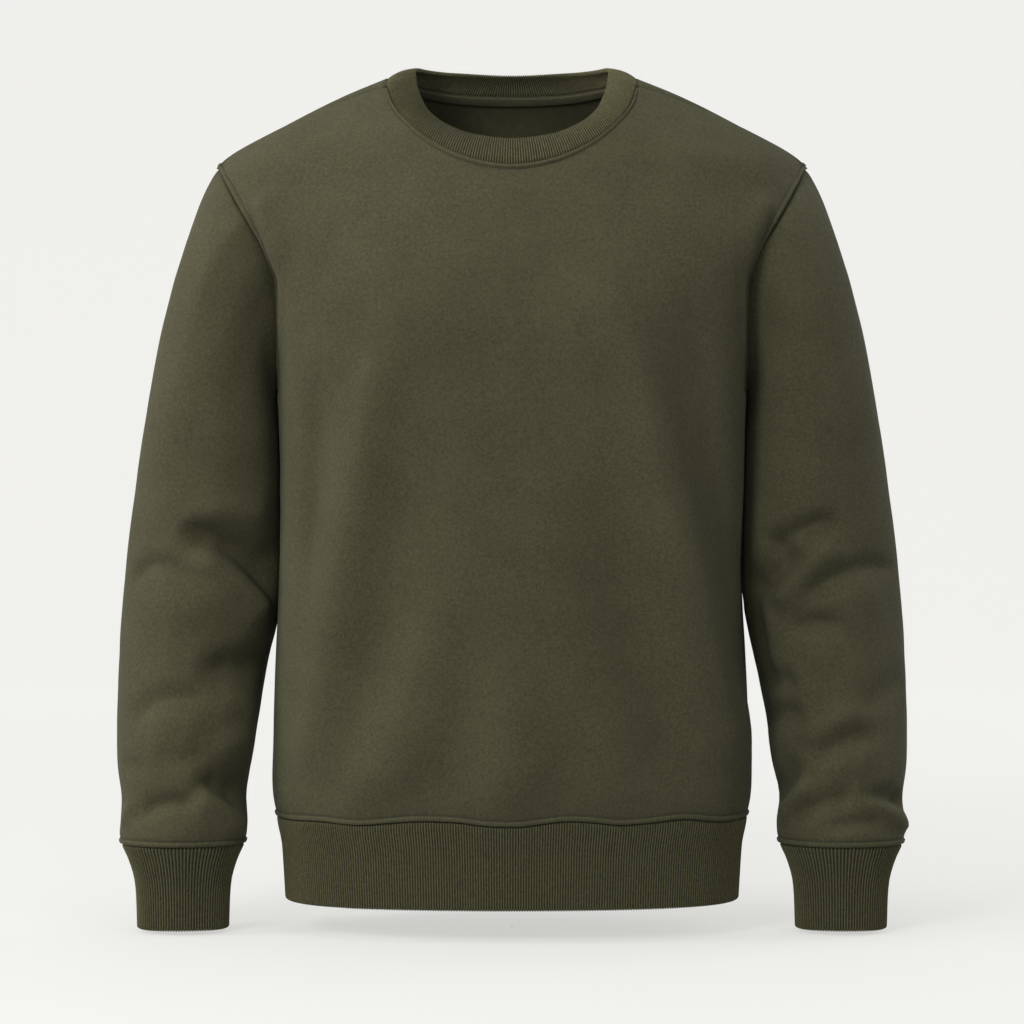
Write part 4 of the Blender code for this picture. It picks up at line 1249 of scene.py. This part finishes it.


# ---- Topstitching --------------------------------------------------------------------
# One row of lockstitch holds each welt down. Its thread is painted near black, far darker than the
# cloth, as painted shade for the shadowed dips and needle holes along the row. Every stitch lies in
# the dip that it pulls into the cloth.

STITCH_PITCH = 2.6
STITCH_SHARE = 0.30
THREAD = 1.1

# The thread's near-black colour is painted shade for the dark dips and holes between stitches, not the
# thread's own colour.
thread_finish, thread_nodes, thread_shader = new_finish(
    "near-black thread as painted stitch shade", {"Base Color": (0.016, 0.015, 0.009, 1), "Roughness": 0.6})
twist, twist_place, thread_bump = new_nodes(
    thread_nodes, "ShaderNodeTexNoise", "ShaderNodeTexCoord", "ShaderNodeBump")
twist.inputs["Scale"].default_value = 2500
thread_bump.inputs["Distance"].default_value = 0.0001
link(thread_nodes, (twist_place, "Object", twist, "Vector"),
     (twist, "Fac", thread_bump, "Height"), (thread_bump, "Normal", thread_shader, "Normal"))


def stitch_tree():
    """Lays stitches end to end along a line: sockets for their pitch and thickness."""
    tree, given, real = part_tree("sew a row", {
        "Line": "Geometry", "Pitch": "Float", "Thread": "Float", "Finish": "Material"})
    curve, even, points, ball, tangent, turn, size = new_nodes(
        tree, "GeometryNodeMeshToCurve", "GeometryNodeResampleCurve",
        "GeometryNodeInstanceOnPoints", "GeometryNodeMeshUVSphere", "GeometryNodeInputTangent",
        "FunctionNodeAlignRotationToVector", "ShaderNodeCombineXYZ")
    even.mode = "LENGTH"
    turn.axis = "X"
    set_inputs(ball, {"Segments": 6, "Rings": 4, "Radius": 1.0})
    half_stitch = reckon(tree, "MULTIPLY", given.outputs["Pitch"], STITCH_SHARE)
    tree.links.new(half_stitch, size.inputs["X"])
    link(tree, (given, "Line", curve, "Mesh"), (curve, "Curve", even, "Curve"),
         (given, "Pitch", even, "Length"), (even, "Curve", points, "Points"),
         (ball, "Mesh", points, "Instance"), (tangent, "Tangent", turn, "Vector"),
         (turn, "Rotation", points, "Rotation"), (given, "Thread", size, "Y"),
         (given, "Thread", size, "Z"), (size, "Vector", points, "Scale"),
         (points, "Instances", real, "Geometry"))
    return tree


def row_round(view):
    """A closed stitched line over both panels, from the edge that a view puts first."""
    ahead = inset(view(front), STITCH_LINE, view(front_outer))
    behind = inset(view(back), STITCH_LINE, view(back_outer))
    return np.concatenate([ahead, behind[-2:0:-1]])


sew_a_row = stitch_tree()
for name, line in (
        ("neck", row_round(lambda grid: grid[::-1, NECK])),
        ("hem", row_round(lambda grid: grid)),
        ("left_armhole", row_round(lambda grid: grid[LOW_ROWS:, ::-1].swapaxes(0, 1))),
        ("right_armhole", row_round(lambda grid: grid[LOW_ROWS:].swapaxes(0, 1))),
        ("left_cuff", inset(sleeve_left, STITCH_LINE, left_outer)),
        ("right_cuff", inset(mirrored(sleeve_right)[:, ::-1], STITCH_LINE, right_outer))):
    places = np.arange(len(line))
    row_mesh = bpy.data.meshes.new(name + "_stitching")
    row_mesh.from_pydata((line * MM).tolist(), np.stack([places, np.roll(places, -1)], 1).tolist(), [])
    row = placed(name + "_stitching", row_mesh)
    made_plain(row, sew_a_row, Pitch=STITCH_PITCH * MM, Thread=THREAD / 2 * MM,
               Finish=thread_finish)
    row.data.polygons.foreach_set("use_smooth", np.ones(len(row.data.polygons), bool))
    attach(row, "root")


# ---- Studio --------------------------------------------------------------------------
# A pale round sweep with a floor just under the cuffs. Its paper is given a painted glow, weaker near
# the garment and stronger the farther it lies from it, which evens out the lamps' light on the
# backdrop. Six soft lights, the two strongest from the upper left and the left, and the camera at the
# height of the garment's middle.

FLOOR_Z = -0.710
SWEEP_RADIUS = 4.4
SWEEP_BEND = 1.4
SWEEP_TOP = 4.5
SWEEP_STEPS = 96
FLOOR_GLOW = 0.576
WALL_GLOW = 0.7325
GLOW_REACH = 3.1
AIM = (0, 0, -0.35)
AIR = 0.20
CAMERA_PLACE = (0, -2.5, -0.361)
LENS = 104.4

bend = np.radians(np.linspace(0, 90, 16))
radii = [0.001, 1.0, 2.0, *(SWEEP_RADIUS - SWEEP_BEND + SWEEP_BEND * np.sin(bend)), SWEEP_RADIUS]
heights = [0, 0, 0, *(SWEEP_BEND * (1 - np.cos(bend))), SWEEP_TOP]
turn = np.linspace(0, 2 * np.pi, SWEEP_STEPS, endpoint=False)
sweep_points = [stack(radius * np.cos(turn), radius * np.sin(turn), FLOOR_Z + height)
                for radius, height in zip(radii, heights)]
r, c = np.meshgrid(np.arange(len(radii) - 1) * SWEEP_STEPS, np.arange(SWEEP_STEPS), indexing="ij")
after = (c + 1) % SWEEP_STEPS
sweep_faces = np.stack([r + c, r + SWEEP_STEPS + c, r + SWEEP_STEPS + after, r + after], axis=-1)
sweep_mesh = smooth_mesh("studio_sweep", np.concatenate(sweep_points), sweep_faces.reshape(-1, 4))
sweep = placed("studio_sweep", sweep_mesh)
paper, paper_nodes, paper_shader = new_finish("pale paper with painted glow", {
    "Base Color": (0.28, 0.28, 0.2765, 1), "Roughness": 0.9,
    "Emission Color": (1, 0.994, 0.962, 1)})
# Painted glow: emission that rises from the floor under the garment out to the wall, so the sweep
# looks evenly lit.
place, plan, reach, glow = new_nodes(
    paper_nodes, "ShaderNodeTexCoord", "ShaderNodeVectorMath", "ShaderNodeVectorMath",
    "ShaderNodeMapRange")
plan.operation = "MULTIPLY"
plan.inputs[1].default_value = (1, 1, 0)
reach.operation = "LENGTH"
set_inputs(glow, {"From Min": 0, "From Max": GLOW_REACH, "To Min": FLOOR_GLOW,
                  "To Max": WALL_GLOW})
link(paper_nodes, (place, "Object", plan, 0), (plan, "Vector", reach, 0),
     (reach, "Value", glow, "Value"), (glow, "Result", paper_shader, "Emission Strength"))
sweep.visible_diffuse = False
sweep_mesh.materials.append(paper)

for name, spot, size, power in (
        ("key light", (-1.6, -2.6, 1.2), 1.2, 51),
        ("side light", (-2.7, -0.5, 0.4), 1.2, 38),
        ("fill light", (1.6, -2.6, 1.0), 1.2, 10),
        ("front light", (0, -3.3, -0.2), 2.5, 9),
        ("top light", (0, -0.3, 2.4), 1.8, 21),
        ("rim light", (2.3, 1.2, 0.5), 1.2, 13)):
    lamp = bpy.data.lights.new(name, "AREA")
    lamp.shape = "DISK"
    lamp.size = size
    lamp.energy = power
    light = placed(name, lamp)
    light.location = spot
    light.rotation_euler = (Vector(AIM) - Vector(spot)).to_track_quat("-Z", "Y").to_euler()
    light.visible_camera = False
world = bpy.data.worlds.new("studio air")
world.use_nodes = True
set_inputs(world.node_tree.nodes["Background"], {"Color": (1, 1, 1, 1), "Strength": AIR})
bpy.context.scene.world = world
bpy.context.scene.view_settings.view_transform = "Standard"

lens = bpy.data.cameras.new("camera")
lens.lens = LENS
lens.sensor_width = 36.0
lens.clip_end = 50
camera = placed("camera", lens)
camera.location = CAMERA_PLACE
camera.rotation_euler = (np.pi / 2, 0, 0)
bpy.context.scene.camera = camera
